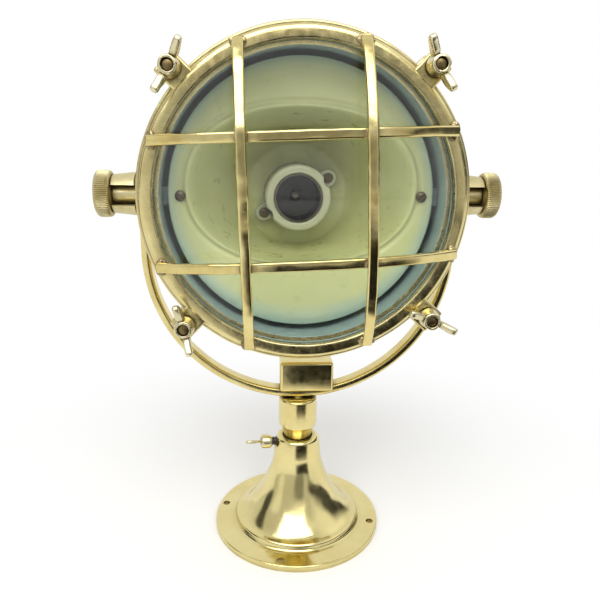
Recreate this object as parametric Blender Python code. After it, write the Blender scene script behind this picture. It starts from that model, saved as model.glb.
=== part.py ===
"""Nautical cargo spotlight: a brass lamp head in a yoke that turns on a trumpet-shaped pedestal.

The origin is on the floor, under the middle of the pedestal. +Z is up, and the head looks towards -Y.
The head's pieces are drawn in face coordinates: X to the right, Y up and Z forward out of the glass.
"""

import math

import bmesh
import bpy
from mathutils import Matrix, Vector

MM = 0.001

# Fits
CLEARANCE = 0.3 * MM
OVERRUN = 2.0 * MM

# Pedestal
FLANGE_RADIUS = 57.5 * MM
FLANGE_THICKNESS = 4.2 * MM
FLANGE_EDGE_ROUND = 1.2 * MM
FLANGE_WIDTH = 13.5 * MM
SHOULDER_INSET = 1.5 * MM
SHOULDER_HEIGHT = 8.5 * MM
SHOULDER_HANDLE_SHARES = ((0.05, 0.50), (0.35, 0.85))
NECK_WALL = 4.3 * MM
NECK_SPLAY = 1.7 * MM
NECK_LENGTH = 12.0 * MM
TRUMPET_HANDLE_SHARES = ((0.38, 0.04), (0.98, 0.64))
PEDESTAL_HEIGHT = 67.0 * MM
LIP_ROUND = 3.6 * MM
PEDESTAL_WALL = 4.0 * MM
HOLLOW_HEIGHT = 27.0 * MM
HOLLOW_CROWN_RADIUS = 20.0 * MM
SPIGOT_LEDGE = 6.0 * MM
CABLE_WAY_RADIUS = 6.0 * MM
SCREW_HOLE_RADIUS = 2.5 * MM
SCREW_HOLE_INSET = 5.0 * MM
SCREW_HOLE_ANGLES = (75.5, 165.5, 255.5, 345.5)

# Swivel lock screw
LOCK_SCREW_RADIUS = 3.0 * MM
LOCK_SCREW_DROP = 4.6 * MM
LOCK_SCREW_BEARING = 185.0
LOCK_HEAD_GAP = 3.6 * MM
LOCK_BOSS_RADIUS = 4.8 * MM
LOCK_BOSS_LENGTH = 7.6 * MM
LOCK_BOSS_ROUND = 3.0 * MM
LOCK_BORE_DEPTH = 5.6 * MM
LOCK_WING_REACH = 12.5 * MM
LOCK_WING_SPREAD = 8.5 * MM
LOCK_WING_THICKNESS = 2.0 * MM
LOCK_WING_TURN = 29.0
LOCK_WING_SHARES = ((0.55, 0.0), (1.0, 0.72), (0.88, 0.98), (0.66, 0.92), (0.30, 0.42))

# Stem of the yoke
SPIGOT_RADIUS = 9.9 * MM
SPIGOT_SHOW = 4.0 * MM
CONE_HEIGHT = 5.0 * MM
COLLAR_STEP = 3.1 * MM
COLLAR_HEIGHT = 20.2 * MM
COLLAR_ROUND = 2.4 * MM
STUD_RADIUS = 5.0 * MM
STUD_GRIP = 14.0 * MM

# Lamp housing
HOUSING_RADIUS = 83.0 * MM
HOUSING_WALL = 3.0 * MM
HOUSING_FRONT = 34.0 * MM
HOUSING_SHOULDER = -20.0 * MM
HOUSING_REAR_RADIUS = 41.0 * MM
HOUSING_HANDLE_SHARES = ((0.0, 0.42), (0.30, 0.97))

# Housing rim, which carries the front
RIM_SLEEVE_WALL = 7.0 * MM
RIM_SLEEVE_LENGTH = 10.0 * MM
RIM_LIP_WALL = 2.3 * MM
RIM_LIP_STEP = 0.6 * MM
RIM_LIP_DEPTH = 7.4 * MM
RIM_SEAT_THICKNESS = 2.3 * MM
RIM_EDGE_ROUND = 0.8 * MM

# Front ring with its glass
BEZEL_OVERHANG = 6.9 * MM
BEZEL_WIDTH = 8.0 * MM
BEZEL_WALL = 4.3 * MM
BEZEL_DEPTH = 12.0 * MM
BEZEL_LIP = 3.0 * MM
BEZEL_OUTER_ROUND = 2.6 * MM
BEZEL_INNER_ROUND = 1.4 * MM
GLASS_THICKNESS = 5.0 * MM
LENS_GASKET_THICKNESS = 0.8 * MM
RETAINER_THICKNESS = 1.8 * MM
RETAINER_WIDTH = 3.0 * MM
RIM_GASKET_WIDTH = 3.7 * MM
RIM_GASKET_THICKNESS = 0.8 * MM

# Cage of flat bars
BAR_WIDTH = 5.6 * MM
BAR_THICKNESS = 3.5 * MM
BAR_EDGE = 0.9 * MM
CAGE_RISE = 20.5 * MM
CAGE_POWER = 3.0
CAGE_FOOT_INSET = 1.7 * MM
CROSSING_GAP = 0.8 * MM
LEFT_BAR_TOP = -35.8 * MM
LEFT_BAR_BOTTOM = -31.3 * MM
RIGHT_BAR_TOP = 29.8 * MM
RIGHT_BAR_BOTTOM = 35.7 * MM
UPPER_BAR_LEFT = 30.5 * MM
UPPER_BAR_RIGHT = 37.2 * MM
LOWER_BAR_LEFT = -36.3 * MM
LOWER_BAR_RIGHT = -29.0 * MM

# Swing bolts and their wing nuts, seen from the front at these angles from +X
BOLT_STANDOFF = 4.5 * MM
BOLT_ANGLES = {"upper_left": 136.5, "upper_right": 46.0, "lower_left": 226.0, "lower_right": 317.0}
WING_ANGLES = {"upper_left": 62.0, "upper_right": 117.0, "lower_left": 104.0, "lower_right": 157.0}
BOLT_RADIUS = 3.0 * MM
BOLT_EYE_RADIUS = 5.2 * MM
BOLT_EYE_THICKNESS = 6.0 * MM
HINGE_PIN_RADIUS = 2.0 * MM
HINGE_PIN_SETBACK = 20.0 * MM
EAR_THICKNESS = 3.5 * MM
EAR_RADIUS = 5.0 * MM
EAR_ROOT = 2.0 * MM
FORK_CHEEK = 3.9 * MM
FORK_REACH = 5.3 * MM
FORK_ROOT = 3.5 * MM
NUT_STANDOFF = 1.1 * MM
NUT_RADIUS = 6.0 * MM
NUT_TIP_RADIUS = 4.9 * MM
NUT_HEIGHT = 9.0 * MM
NUT_END_SHOW = 2.0 * MM
WING_REACH = 15.0 * MM
WING_HEIGHT = 12.5 * MM
WING_THICKNESS = 4.0 * MM
WING_SHARES = (
    (0.30, 0.14),
    (0.62, 0.26),
    (0.92, 0.62),
    (1.0, 0.86),
    (0.88, 1.0),
    (0.66, 0.88),
    (0.36, 0.62),
)

# Trunnions, yoke and tilt knobs
TRUNNION_PAD_RADIUS = 14.0 * MM
TRUNNION_PAD_LENGTH = 7.1 * MM
TRUNNION_RADIUS = 5.75 * MM
WASHER_RADIUS = 13.0 * MM
WASHER_THICKNESS = 2.0 * MM
YOKE_THICKNESS = 5.5 * MM
YOKE_WIDTH = 11.0 * MM
YOKE_EDGE = 1.2 * MM
YOKE_EYE_PROUD = 0.25 * MM
YOKE_ARM = 36.0 * MM
YOKE_EYE_RADIUS = 13.2 * MM
YOKE_BOSS_TAPER = 1.6 * MM
YOKE_BOSS_LENGTH = 14.6 * MM
YOKE_BOSS_ROUND = 1.0 * MM
KNOB_RADIUS = 14.2 * MM
KNOB_THICKNESS = 9.4 * MM
KNOB_EDGE = 2.0 * MM
KNOB_THREAD_STEP = 1.75 * MM
KNOB_THREAD_SHORT = 1.6 * MM

# Block that screws down on the yoke
BLOCK_WIDTH = 35.5 * MM
BLOCK_DEPTH = 18.0 * MM
BLOCK_HEIGHT = 20.8 * MM
BLOCK_LAP = 0.2 * MM
BLOCK_OFFSET = 5.2 * MM
BLOCK_ROUND = 2.0 * MM

# Reflector
REFLECTOR_GAP = 3.6 * MM
REFLECTOR_SETBACK = 18.0 * MM
BOWL_SIDE_INSET = 11.4 * MM
BOWL_TOP_INSET = 28.4 * MM
BOWL_POWER = 2.5
BOWL_FLOOR_RADIUS = 31.0 * MM
REFLECTOR_THICKNESS = 1.0 * MM
BOWL_HANDLE_SHARES = ((0.16, 0.34), (0.60, 0.92))
TAB_WIDTH = 10.0 * MM
TAB_THICKNESS = 5.5 * MM
TAB_SETBACK = 0.6 * MM
REFLECTOR_SCREW_INSET = 6.8 * MM
SMALL_SCREW_RADIUS = 1.5 * MM
SMALL_SCREW_HEAD_RADIUS = 3.1 * MM
SMALL_SCREW_HEAD_HEIGHT = 1.5 * MM
SMALL_SCREW_LENGTH = 5.5 * MM

# Lampholder, which stands a little below the middle
LAMPHOLDER_DROP = 3.2 * MM
PORCELAIN_RADIUS = 20.0 * MM
PORCELAIN_SETBACK = 30.0 * MM
PORCELAIN_LENGTH = 42.0 * MM
PORCELAIN_BASE_STEP = 3.0 * MM
PORCELAIN_WALL = 5.1 * MM
PORCELAIN_FLOOR = 12.0 * MM
PORCELAIN_TAPER = 5.0 * MM
PORCELAIN_ROUND = 1.4 * MM
EAR_PLATE_SETBACK = 25.2 * MM
EAR_PLATE_THICKNESS = 5.0 * MM
EAR_PLATE_ANGLE = 28.4
EAR_SCREW_STANDOFF = 3.0 * MM
EAR_END_RADIUS = 5.2 * MM
SCREW_NOTCH_RADIUS = 5.0 * MM
SCREW_SHELL_WALL = 0.9 * MM
SCREW_SHELL_SETBACK = 1.4 * MM
SCREW_SHELL_FOOT = 1.8 * MM
CONTACT_RADIUS = 4.0 * MM
CONTACT_HEIGHT = 3.2 * MM
TERMINAL_PLACE = 12.5 * MM
TERMINAL_RADIUS = 3.0 * MM
TERMINAL_HEIGHT = 1.9 * MM
BRACKET_INSET = 2.4 * MM
BRACKET_THICKNESS = 2.0 * MM
LAMPHOLDER_ROOM = 4.0 * MM
BRACKET_LEG_WIDTH = 12.0 * MM

# Cable gland, low in the back wall
GLAND_INSET = 13.5 * MM
GLAND_BORE_RADIUS = 4.2 * MM
GLAND_THREAD_RADIUS = 7.6 * MM
GLAND_FLANGE_WIDTH = 3.4 * MM
GLAND_FLANGE_THICKNESS = 3.0 * MM
GLAND_INSIDE_LENGTH = 2.0 * MM
GLAND_OUTSIDE_LENGTH = 5.0 * MM
GLAND_NUT_RADIUS = 10.4 * MM
GLAND_NUT_WALL = 1.9 * MM
GLAND_SEAL_THICKNESS = 1.8 * MM

# Attitude of the head at rest, in degrees above level
REST_TILT = 2.0

# Roundness
FINE_STEPS = 40
MEDIUM_STEPS = 24
SMALL_STEPS = 12
TINY_STEPS = 10
HEX_SIDES = 6
SMOOTH_ANGLE = 35.0
HALF_TURN = 180.0
QUARTER_TURN = 90.0
HALF = 0.5
SIDES = {"left": -1, "right": 1}

# Radii that follow from the sizes above
BELL_RADIUS = FLANGE_RADIUS - FLANGE_WIDTH
SHOULDER_RADIUS = BELL_RADIUS - SHOULDER_INSET
NECK_RADIUS = SPIGOT_RADIUS + CLEARANCE + NECK_WALL
NECK_FOOT_RADIUS = NECK_RADIUS + NECK_SPLAY
COLLAR_RADIUS = SPIGOT_RADIUS + COLLAR_STEP
HOUSING_INNER_RADIUS = HOUSING_RADIUS - HOUSING_WALL
RIM_BODY_RADIUS = HOUSING_RADIUS + CLEARANCE + RIM_SLEEVE_WALL
BEZEL_RADIUS = HOUSING_RADIUS + BEZEL_OVERHANG
RIM_RADIUS = BEZEL_RADIUS + CLEARANCE + RIM_LIP_WALL
BEZEL_OPENING_RADIUS = BEZEL_RADIUS - BEZEL_WIDTH
GLASS_RADIUS = BEZEL_RADIUS - BEZEL_WALL - CLEARANCE
RETAINER_INNER_RADIUS = GLASS_RADIUS - RETAINER_WIDTH
RIM_GASKET_RADIUS = BEZEL_RADIUS - CLEARANCE
CAGE_FOOT_RADIUS = BEZEL_RADIUS - CAGE_FOOT_INSET
BOLT_CIRCLE_RADIUS = RIM_RADIUS + BOLT_STANDOFF
YOKE_BOSS_TIP_RADIUS = YOKE_EYE_RADIUS - YOKE_BOSS_TAPER
KNOB_THREAD_RADIUS = TRUNNION_RADIUS - KNOB_THREAD_STEP
REFLECTOR_RADIUS = HOUSING_INNER_RADIUS - REFLECTOR_GAP
BOWL_HALF_WIDTH = REFLECTOR_RADIUS - BOWL_SIDE_INSET
BOWL_HALF_HEIGHT = REFLECTOR_RADIUS - BOWL_TOP_INSET
REFLECTOR_SCREW_PLACE = REFLECTOR_RADIUS - REFLECTOR_SCREW_INSET
PORCELAIN_BASE_RADIUS = PORCELAIN_RADIUS - PORCELAIN_BASE_STEP
SOCKET_RADIUS = PORCELAIN_RADIUS - PORCELAIN_WALL
EAR_SCREW_PLACE = PORCELAIN_RADIUS + EAR_SCREW_STANDOFF
BRACKET_RADIUS = BOWL_FLOOR_RADIUS - BRACKET_INSET
GLAND_DROP = HOUSING_REAR_RADIUS - GLAND_INSET
GLAND_FLANGE_RADIUS = GLAND_THREAD_RADIUS + GLAND_FLANGE_WIDTH

# Places that follow from the sizes above
RIM_BACK = HOUSING_FRONT - RIM_SLEEVE_LENGTH
RIM_SEAT_BACK = HOUSING_FRONT + CLEARANCE
RIM_SEAT = RIM_SEAT_BACK + RIM_SEAT_THICKNESS
RIM_LIP_BACK = RIM_SEAT - RIM_LIP_STEP
RIM_FRONT = RIM_SEAT + RIM_LIP_DEPTH
RIM_GASKET_BACK = RIM_SEAT + CLEARANCE
RIM_GASKET_FRONT = RIM_GASKET_BACK + RIM_GASKET_THICKNESS
BEZEL_BACK = RIM_GASKET_FRONT + CLEARANCE
BEZEL_FRONT = BEZEL_BACK + BEZEL_DEPTH
REFLECTOR_FRONT = HOUSING_FRONT - REFLECTOR_SETBACK
PORCELAIN_FRONT = REFLECTOR_FRONT - PORCELAIN_SETBACK
SOCKET_DEPTH = PORCELAIN_LENGTH - PORCELAIN_FLOOR
STEM_TOP = PEDESTAL_HEIGHT + SPIGOT_SHOW + CONE_HEIGHT + COLLAR_HEIGHT
LEDGE_HEIGHT = HOLLOW_HEIGHT + SPIGOT_LEDGE
PAD_BASE = HOUSING_RADIUS + CLEARANCE
PAD_FACE = PAD_BASE + TRUNNION_PAD_LENGTH
WASHER_BASE = PAD_FACE + CLEARANCE
YOKE_EYE_FACE = WASHER_BASE + WASHER_THICKNESS + CLEARANCE
YOKE_INNER_RADIUS = YOKE_EYE_FACE + YOKE_EYE_PROUD
YOKE_OUTER_RADIUS = YOKE_INNER_RADIUS + YOKE_THICKNESS
YOKE_EYE_BACK = YOKE_OUTER_RADIUS + YOKE_EYE_PROUD
YOKE_BOSS_BASE = YOKE_EYE_BACK + CLEARANCE
YOKE_BOSS_TOP = YOKE_BOSS_BASE + YOKE_BOSS_LENGTH
KNOB_BASE = YOKE_BOSS_TOP + CLEARANCE
YOKE_CENTRE_HEIGHT = STEM_TOP + CLEARANCE + YOKE_OUTER_RADIUS
TRUNNION_HEIGHT = YOKE_CENTRE_HEIGHT + YOKE_ARM
HINGE_PIN_FORWARD = BEZEL_FRONT - HINGE_PIN_SETBACK
REAR_INSIDE = PORCELAIN_FRONT - PORCELAIN_LENGTH - LAMPHOLDER_ROOM
HOUSING_REAR = REAR_INSIDE - HOUSING_WALL
EAR_PLATE_TOP = PORCELAIN_FRONT - EAR_PLATE_SETBACK
EAR_PLATE_FOOT = EAR_PLATE_TOP - EAR_PLATE_THICKNESS
BOWL_FLOOR = EAR_PLATE_FOOT - CLEARANCE
BRACKET_TOP = BOWL_FLOOR - REFLECTOR_THICKNESS - CLEARANCE
LOCK_SCREW_HEIGHT = PEDESTAL_HEIGHT - LOCK_SCREW_DROP


def clear_scene():
    for old in list(bpy.data.objects):
        bpy.data.objects.remove(old, do_unlink=True)


def finish(name, colour, metallic, roughness):
    """A material of one colour."""
    made = bpy.data.materials.new(name)
    made.use_nodes = True
    shader = made.node_tree.nodes["Principled BSDF"]
    shader.inputs["Base Color"].default_value = (*colour, 1.0)
    shader.inputs["Metallic"].default_value = metallic
    shader.inputs["Roughness"].default_value = roughness
    return made


FINISHES = {
    "brass": ((0.83, 0.66, 0.30), 1.0, 0.18),
    "dark_brass": ((0.45, 0.34, 0.15), 1.0, 0.35),
    "steel": ((0.20, 0.19, 0.17), 1.0, 0.40),
    "enamel": ((0.66, 0.70, 0.46), 0.0, 0.35),
    "porcelain": ((0.86, 0.84, 0.76), 0.0, 0.20),
    "glass": ((0.55, 0.72, 0.66), 0.0, 0.05),
    "rubber": ((0.05, 0.05, 0.05), 0.0, 0.70),
    "fibre": ((0.30, 0.14, 0.08), 0.0, 0.70),
}


def empty(name, place, turn, parent=None):
    """A frame that pieces hang on: its origin lies on a joint's axis."""
    made = bpy.data.objects.new(name, None)
    bpy.context.scene.collection.objects.link(made)
    made.parent = parent
    made.location = place
    made.rotation_euler = turn
    return made


def solid(name, shape, look, parent=None):
    """Makes an object of a bmesh, in its parent's coordinates."""
    bmesh.ops.recalc_face_normals(shape, faces=shape.faces)
    mesh = bpy.data.meshes.new(name)
    shape.to_mesh(mesh)
    shape.free()
    mesh.materials.append(bpy.data.materials[look])
    mesh.shade_smooth()
    mesh.set_sharp_from_angle(angle=math.radians(SMOOTH_ANGLE))
    made = bpy.data.objects.new(name, mesh)
    bpy.context.scene.collection.objects.link(made)
    made.parent = parent
    return made


def hide_helper(helper):
    helper.hide_render = True
    helper.display_type = "WIRE"


def combine(piece, helper, operation):
    """Cuts a helper from a piece, or joins it on."""
    hide_helper(helper)
    step = piece.modifiers.new(helper.name, "BOOLEAN")
    step.object = helper
    step.operation = operation
    step.solver = "EXACT"


def curve_points(start, end, handle_shares, count):
    """A smooth curve between two points, whose handles are shares of the way across and along."""
    across = end[0] - start[0]
    along = end[1] - start[1]
    handles = [(start[0] + across * a, start[1] + along * b) for a, b in handle_shares]
    corners = [start, *handles, end]
    found = []
    for step in range(1, count):
        t = step / count
        weights = ((1 - t) ** 3, 3 * t * (1 - t) ** 2, 3 * t * t * (1 - t), t**3)
        found.append(
            tuple(sum(w * corner[axis] for w, corner in zip(weights, corners)) for axis in (0, 1))
        )
    return found


def rounded_corner(corner, before, after, count=2):
    """Points of a quarter curve from one tangent point to another round a corner."""
    found = []
    for step in range(count + 1):
        t = step / count
        weights = ((1 - t) ** 2, 2 * t * (1 - t), t * t)
        points = (before, corner, after)
        found.append(tuple(sum(w * p[axis] for w, p in zip(weights, points)) for axis in (0, 1)))
    return found


def turned(outline, steps, turn=None):
    """A solid of revolution about Z. An outline that starts and ends on the axis is closed there."""
    shape = bmesh.new()
    rings = []
    for radius, height in outline:
        if radius == 0:
            rings.append([shape.verts.new((0, 0, height))])
            continue
        ring = []
        for step in range(steps):
            angle = 2 * math.pi * (step + HALF) / steps
            ring.append(shape.verts.new((radius * math.cos(angle), radius * math.sin(angle), height)))
        rings.append(ring)
    closed = outline[0][0] != 0 and outline[-1][0] != 0
    pairs = list(zip(rings, rings[1:]))
    if closed:
        pairs.append((rings[-1], rings[0]))
    for first, second in pairs:
        for step in range(steps):
            onward = (step + 1) % steps
            corners = [first[step % len(first)], first[onward % len(first)]]
            corners += [second[onward % len(second)], second[step % len(second)]]
            shape.faces.new(list(dict.fromkeys(corners)))
    if turn is not None:
        bmesh.ops.transform(shape, matrix=turn, verts=shape.verts)
    return shape


def rod(radius, low, high, steps, turn=None):
    return turned([(0, low), (radius, low), (radius, high), (0, high)], steps, turn)


def tube(inner, outer, low, high, steps, turn=None):
    return turned([(inner, low), (outer, low), (outer, high), (inner, high)], steps, turn)


def prism(outline, low, high, turn=None):
    """An outline in the XY plane, drawn out along Z."""
    shape = bmesh.new()
    foot = [shape.verts.new((x, y, low)) for x, y in outline]
    top = [shape.verts.new((x, y, high)) for x, y in outline]
    shape.faces.new(foot)
    shape.faces.new(top)
    for here in range(len(outline)):
        onward = (here + 1) % len(outline)
        shape.faces.new((foot[here], foot[onward], top[onward], top[here]))
    if turn is not None:
        bmesh.ops.transform(shape, matrix=turn, verts=shape.verts)
    return shape


def box(low, high, turn=None):
    outline = [(low[0], low[1]), (high[0], low[1]), (high[0], high[1]), (low[0], high[1])]
    return prism(outline, low[2], high[2], turn)


def arc(centre, radius, start, end, count):
    """Points of an arc, its angles in degrees, both ends among them."""
    found = []
    for step in range(count + 1):
        angle = math.radians(start + (end - start) * step / count)
        found.append((centre[0] + radius * math.cos(angle), centre[1] + radius * math.sin(angle)))
    return found


def flat_section(width, thickness, edge):
    """The section of a flat bar with its long edges broken."""
    w = width * HALF
    t = thickness * HALF
    return [
        (w - edge, -t),
        (w, edge - t),
        (w, t - edge),
        (w - edge, t),
        (edge - w, t),
        (-w, t - edge),
        (-w, edge - t),
        (edge - w, -t),
    ]


def swept(path, section):
    """A bar of one section along a path. Each point of the path is (place, side, up)."""
    shape = bmesh.new()
    rings = []
    for place, side, up in path:
        rings.append([shape.verts.new(place + side * a + up * b) for a, b in section])
    for first, second in zip(rings, rings[1:]):
        for here in range(len(section)):
            onward = (here + 1) % len(section)
            shape.faces.new((first[here], first[onward], second[onward], second[here]))
    shape.faces.new(rings[0])
    shape.faces.new(rings[-1])
    return shape


def sideways(side):
    """Turns +Z to the right or the left, and keeps Y."""
    return Matrix.Rotation(math.radians(QUARTER_TURN * side), 4, "Y")


def pedestal(frame):
    """Trumpet-shaped casting, hollow from below, with a bore for the yoke's spigot."""
    neck_foot = (NECK_FOOT_RADIUS, PEDESTAL_HEIGHT - NECK_LENGTH)
    shoulder = (SHOULDER_RADIUS, SHOULDER_HEIGHT)
    bell_foot = (BELL_RADIUS, FLANGE_THICKNESS)
    outside = [
        (FLANGE_RADIUS, 0),
        (FLANGE_RADIUS, FLANGE_THICKNESS - FLANGE_EDGE_ROUND),
        (FLANGE_RADIUS - FLANGE_EDGE_ROUND, FLANGE_THICKNESS),
        bell_foot,
        *curve_points(bell_foot, shoulder, SHOULDER_HANDLE_SHARES, 3),
        shoulder,
        *curve_points(shoulder, neck_foot, TRUMPET_HANDLE_SHARES, 9),
        neck_foot,
        *rounded_corner(
            (NECK_RADIUS, PEDESTAL_HEIGHT),
            (NECK_RADIUS, PEDESTAL_HEIGHT - LIP_ROUND),
            (NECK_RADIUS - LIP_ROUND, PEDESTAL_HEIGHT),
        ),
    ]
    bore = SPIGOT_RADIUS + CLEARANCE
    hollow_foot = (BELL_RADIUS - PEDESTAL_WALL, 0)
    hollow_shoulder = (SHOULDER_RADIUS - PEDESTAL_WALL, SHOULDER_HEIGHT - PEDESTAL_WALL)
    inside = [
        (bore, PEDESTAL_HEIGHT),
        (bore, LEDGE_HEIGHT),
        (CABLE_WAY_RADIUS, LEDGE_HEIGHT),
        (CABLE_WAY_RADIUS, HOLLOW_HEIGHT),
        (HOLLOW_CROWN_RADIUS, HOLLOW_HEIGHT),
        hollow_shoulder,
        (hollow_foot[0], SHOULDER_HEIGHT * HALF),
        hollow_foot,
    ]
    made = solid("pedestal", turned(outside + inside, FINE_STEPS), "brass", frame)
    hole_circle = FLANGE_RADIUS - SCREW_HOLE_INSET
    for number, angle in enumerate(SCREW_HOLE_ANGLES):
        place = spoke(angle) @ Matrix.Translation((hole_circle, 0, 0))
        drill = rod(SCREW_HOLE_RADIUS, -OVERRUN, FLANGE_THICKNESS + OVERRUN, TINY_STEPS, place)
        combine(made, solid(f"cut_screw_hole_{number}", drill, "brass", frame), "DIFFERENCE")
    way = rod(LOCK_SCREW_RADIUS + CLEARANCE, SPIGOT_RADIUS, NECK_FOOT_RADIUS + OVERRUN, SMALL_STEPS)
    drill = solid("cut_lock_screw_way", way, "brass", lock_frame(frame, "cut_lock_frame"))
    combine(made, drill, "DIFFERENCE")


def lock_frame(parent, name):
    """A frame whose Z runs outwards along the lock screw."""
    bearing = math.radians(LOCK_SCREW_BEARING)
    direction = Vector((math.cos(bearing), math.sin(bearing), 0))
    turn = direction.to_track_quat("Z", "Y").to_euler()
    return empty(name, (0, 0, LOCK_SCREW_HEIGHT), turn, parent)


def winged_outline(shares, reach, rise):
    """Both wings of a thumb piece: the given points on one side, and their mirror on the other."""
    right = [(reach * a, rise * b) for a, b in shares]
    left = [(-x, y) for x, y in reversed(right)]
    return right + left


def bolted_head(bore, foot, floor, radius, edge, top):
    """The outline of a round head with a blind bore from its foot."""
    return [
        (0, floor),
        (bore, floor),
        (bore, foot),
        (radius, foot),
        *rounded_corner((radius, top), (radius, top - edge), (radius - edge, top)),
        (0, top),
    ]


def lock_screw(parent):
    """Steel rod through the neck, with a brass thumb piece on its outer end."""
    frame = lock_frame(parent, "lock_screw_axis")
    foot = NECK_RADIUS + LOCK_HEAD_GAP
    floor = foot + LOCK_BORE_DEPTH
    top = foot + LOCK_BOSS_LENGTH
    tip = SPIGOT_RADIUS + CLEARANCE * 2
    solid("swivel_lock_rod", rod(LOCK_SCREW_RADIUS, tip, floor - CLEARANCE, SMALL_STEPS), "steel", frame)
    outline = bolted_head(LOCK_SCREW_RADIUS + CLEARANCE, foot, floor, LOCK_BOSS_RADIUS, LOCK_BOSS_ROUND, top)
    made = solid("swivel_lock_wing", turned(outline, SMALL_STEPS), "brass", frame)
    half_thick = LOCK_WING_THICKNESS * HALF
    wing_shape = winged_outline(LOCK_WING_SHARES, LOCK_WING_SPREAD, LOCK_WING_REACH)
    wings = prism(wing_shape, -half_thick, half_thick)
    stand_up = Matrix.Rotation(math.radians(QUARTER_TURN), 4, "X")
    turned_wings = Matrix.Translation((0, 0, floor)) @ spoke(LOCK_WING_TURN) @ stand_up
    bmesh.ops.transform(wings, matrix=turned_wings, verts=wings.verts)
    combine(made, solid("join_lock_wings", wings, "brass", frame), "UNION")


def stem(parent):
    """Turned stem: spigot below, collar in the middle, and a threaded stud that passes through the yoke."""
    foot = LEDGE_HEIGHT + CLEARANCE
    cone_foot = PEDESTAL_HEIGHT + SPIGOT_SHOW
    cone_top = cone_foot + CONE_HEIGHT
    outline = [
        (0, foot),
        (SPIGOT_RADIUS, foot),
        (SPIGOT_RADIUS, cone_foot),
        (COLLAR_RADIUS, cone_top),
        *rounded_corner(
            (COLLAR_RADIUS, STEM_TOP),
            (COLLAR_RADIUS, STEM_TOP - COLLAR_ROUND),
            (COLLAR_RADIUS - COLLAR_ROUND, STEM_TOP),
        ),
        (STUD_RADIUS, STEM_TOP),
        (STUD_RADIUS, stud_top()),
        (0, stud_top()),
    ]
    solid("swivel_stem", turned(outline, MEDIUM_STEPS), "brass", parent)


def stud_top():
    return STEM_TOP + CLEARANCE + YOKE_THICKNESS + CLEARANCE + STUD_GRIP


def stud_hole(name, parent, top):
    drill = rod(STUD_RADIUS + CLEARANCE, STEM_TOP - OVERRUN, top, SMALL_STEPS)
    return solid(name, drill, "brass", parent)


def block(parent):
    """Heavy brass block with rounded edges, screwed down over the stud. Its foot straddles the yoke."""
    left = BLOCK_OFFSET - BLOCK_WIDTH * HALF
    right = BLOCK_OFFSET + BLOCK_WIDTH * HALF
    foot = YOKE_CENTRE_HEIGHT - YOKE_INNER_RADIUS - BLOCK_LAP
    half_deep = BLOCK_DEPTH * HALF
    shape = box((left, -half_deep, foot), (right, half_deep, foot + BLOCK_HEIGHT))
    made = solid("swivel_block", shape, "brass", parent)
    edge = made.modifiers.new("rounded_edges", "BEVEL")
    edge.width = BLOCK_ROUND
    edge.segments = 2
    edge.limit_method = "ANGLE"
    edge.angle_limit = math.radians(QUARTER_TURN * HALF)
    seat_radius = YOKE_INNER_RADIUS - CLEARANCE
    start = math.degrees(math.asin((left - OVERRUN) / seat_radius)) - QUARTER_TURN
    end = math.degrees(math.asin((right + OVERRUN) / seat_radius)) - QUARTER_TURN
    below = foot - OVERRUN
    groove = arc((0, YOKE_CENTRE_HEIGHT), seat_radius, start, end, 6)
    groove += [(right + OVERRUN, below), (left - OVERRUN, below)]
    half_groove = YOKE_WIDTH * HALF + CLEARANCE
    upright = Matrix.Rotation(math.radians(QUARTER_TURN), 4, "X")
    cutter = solid("cut_block_groove", prism(groove, -half_groove, half_groove, upright), "brass", parent)
    combine(made, cutter, "DIFFERENCE")
    bore = stud_hole("cut_block_bore", parent, stud_top() + CLEARANCE)
    combine(made, bore, "DIFFERENCE")


def open_slot(reach, low, high):
    """A cutter for a slot that starts round a shaft and runs out to the front."""
    half_gap = TRUNNION_RADIUS + CLEARANCE
    back = arc((0, 0), half_gap, 0, HALF_TURN, 8)
    return prism([*back, (-half_gap, -reach), (half_gap, -reach)], low, high)


def yoke(parent):
    """One bar bent to a U, with an open eye at each end, and a boss brazed outside each eye."""
    mid_radius = YOKE_INNER_RADIUS + YOKE_THICKNESS * HALF
    across = Vector((0, 1, 0))
    path = []
    bend = arc((0, 0), mid_radius, -HALF_TURN, 0, 26)
    for x, z in [(-mid_radius, YOKE_ARM), *bend, (mid_radius, YOKE_ARM)]:
        outward = Vector((x, 0, min(z, 0))).normalized()
        path.append((Vector((x, 0, YOKE_CENTRE_HEIGHT + z)), across, outward))
    bar = solid("yoke_bar", swept(path, flat_section(YOKE_WIDTH, YOKE_THICKNESS, YOKE_EDGE)), "brass", parent)
    for word, side in SIDES.items():
        frame = empty(f"yoke_end_{word}", (0, 0, TRUNNION_HEIGHT), sideways(side).to_euler(), parent)
        eye = rod(YOKE_EYE_RADIUS, YOKE_EYE_FACE, YOKE_EYE_BACK, MEDIUM_STEPS)
        combine(bar, solid(f"join_yoke_eye_{word}", eye, "brass", frame), "UNION")
        reach = YOKE_EYE_RADIUS + OVERRUN
        slot = open_slot(reach, YOKE_EYE_FACE - OVERRUN, YOKE_BOSS_TOP + OVERRUN)
        cutter = solid(f"cut_yoke_slot_{word}", slot, "brass", frame)
        combine(bar, cutter, "DIFFERENCE")
        outline = [
            (0, YOKE_BOSS_BASE),
            (YOKE_EYE_RADIUS, YOKE_BOSS_BASE),
            *rounded_corner(
                (YOKE_BOSS_TIP_RADIUS, YOKE_BOSS_TOP),
                (YOKE_BOSS_TIP_RADIUS, YOKE_BOSS_TOP - YOKE_BOSS_ROUND),
                (YOKE_BOSS_TIP_RADIUS - YOKE_BOSS_ROUND, YOKE_BOSS_TOP),
            ),
            (0, YOKE_BOSS_TOP),
        ]
        boss = solid(f"yoke_boss_{word}", turned(outline, MEDIUM_STEPS), "brass", frame)
        combine(boss, cutter, "DIFFERENCE")
    combine(bar, stud_hole("cut_yoke_stud_hole", parent, stud_top()), "DIFFERENCE")


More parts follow.
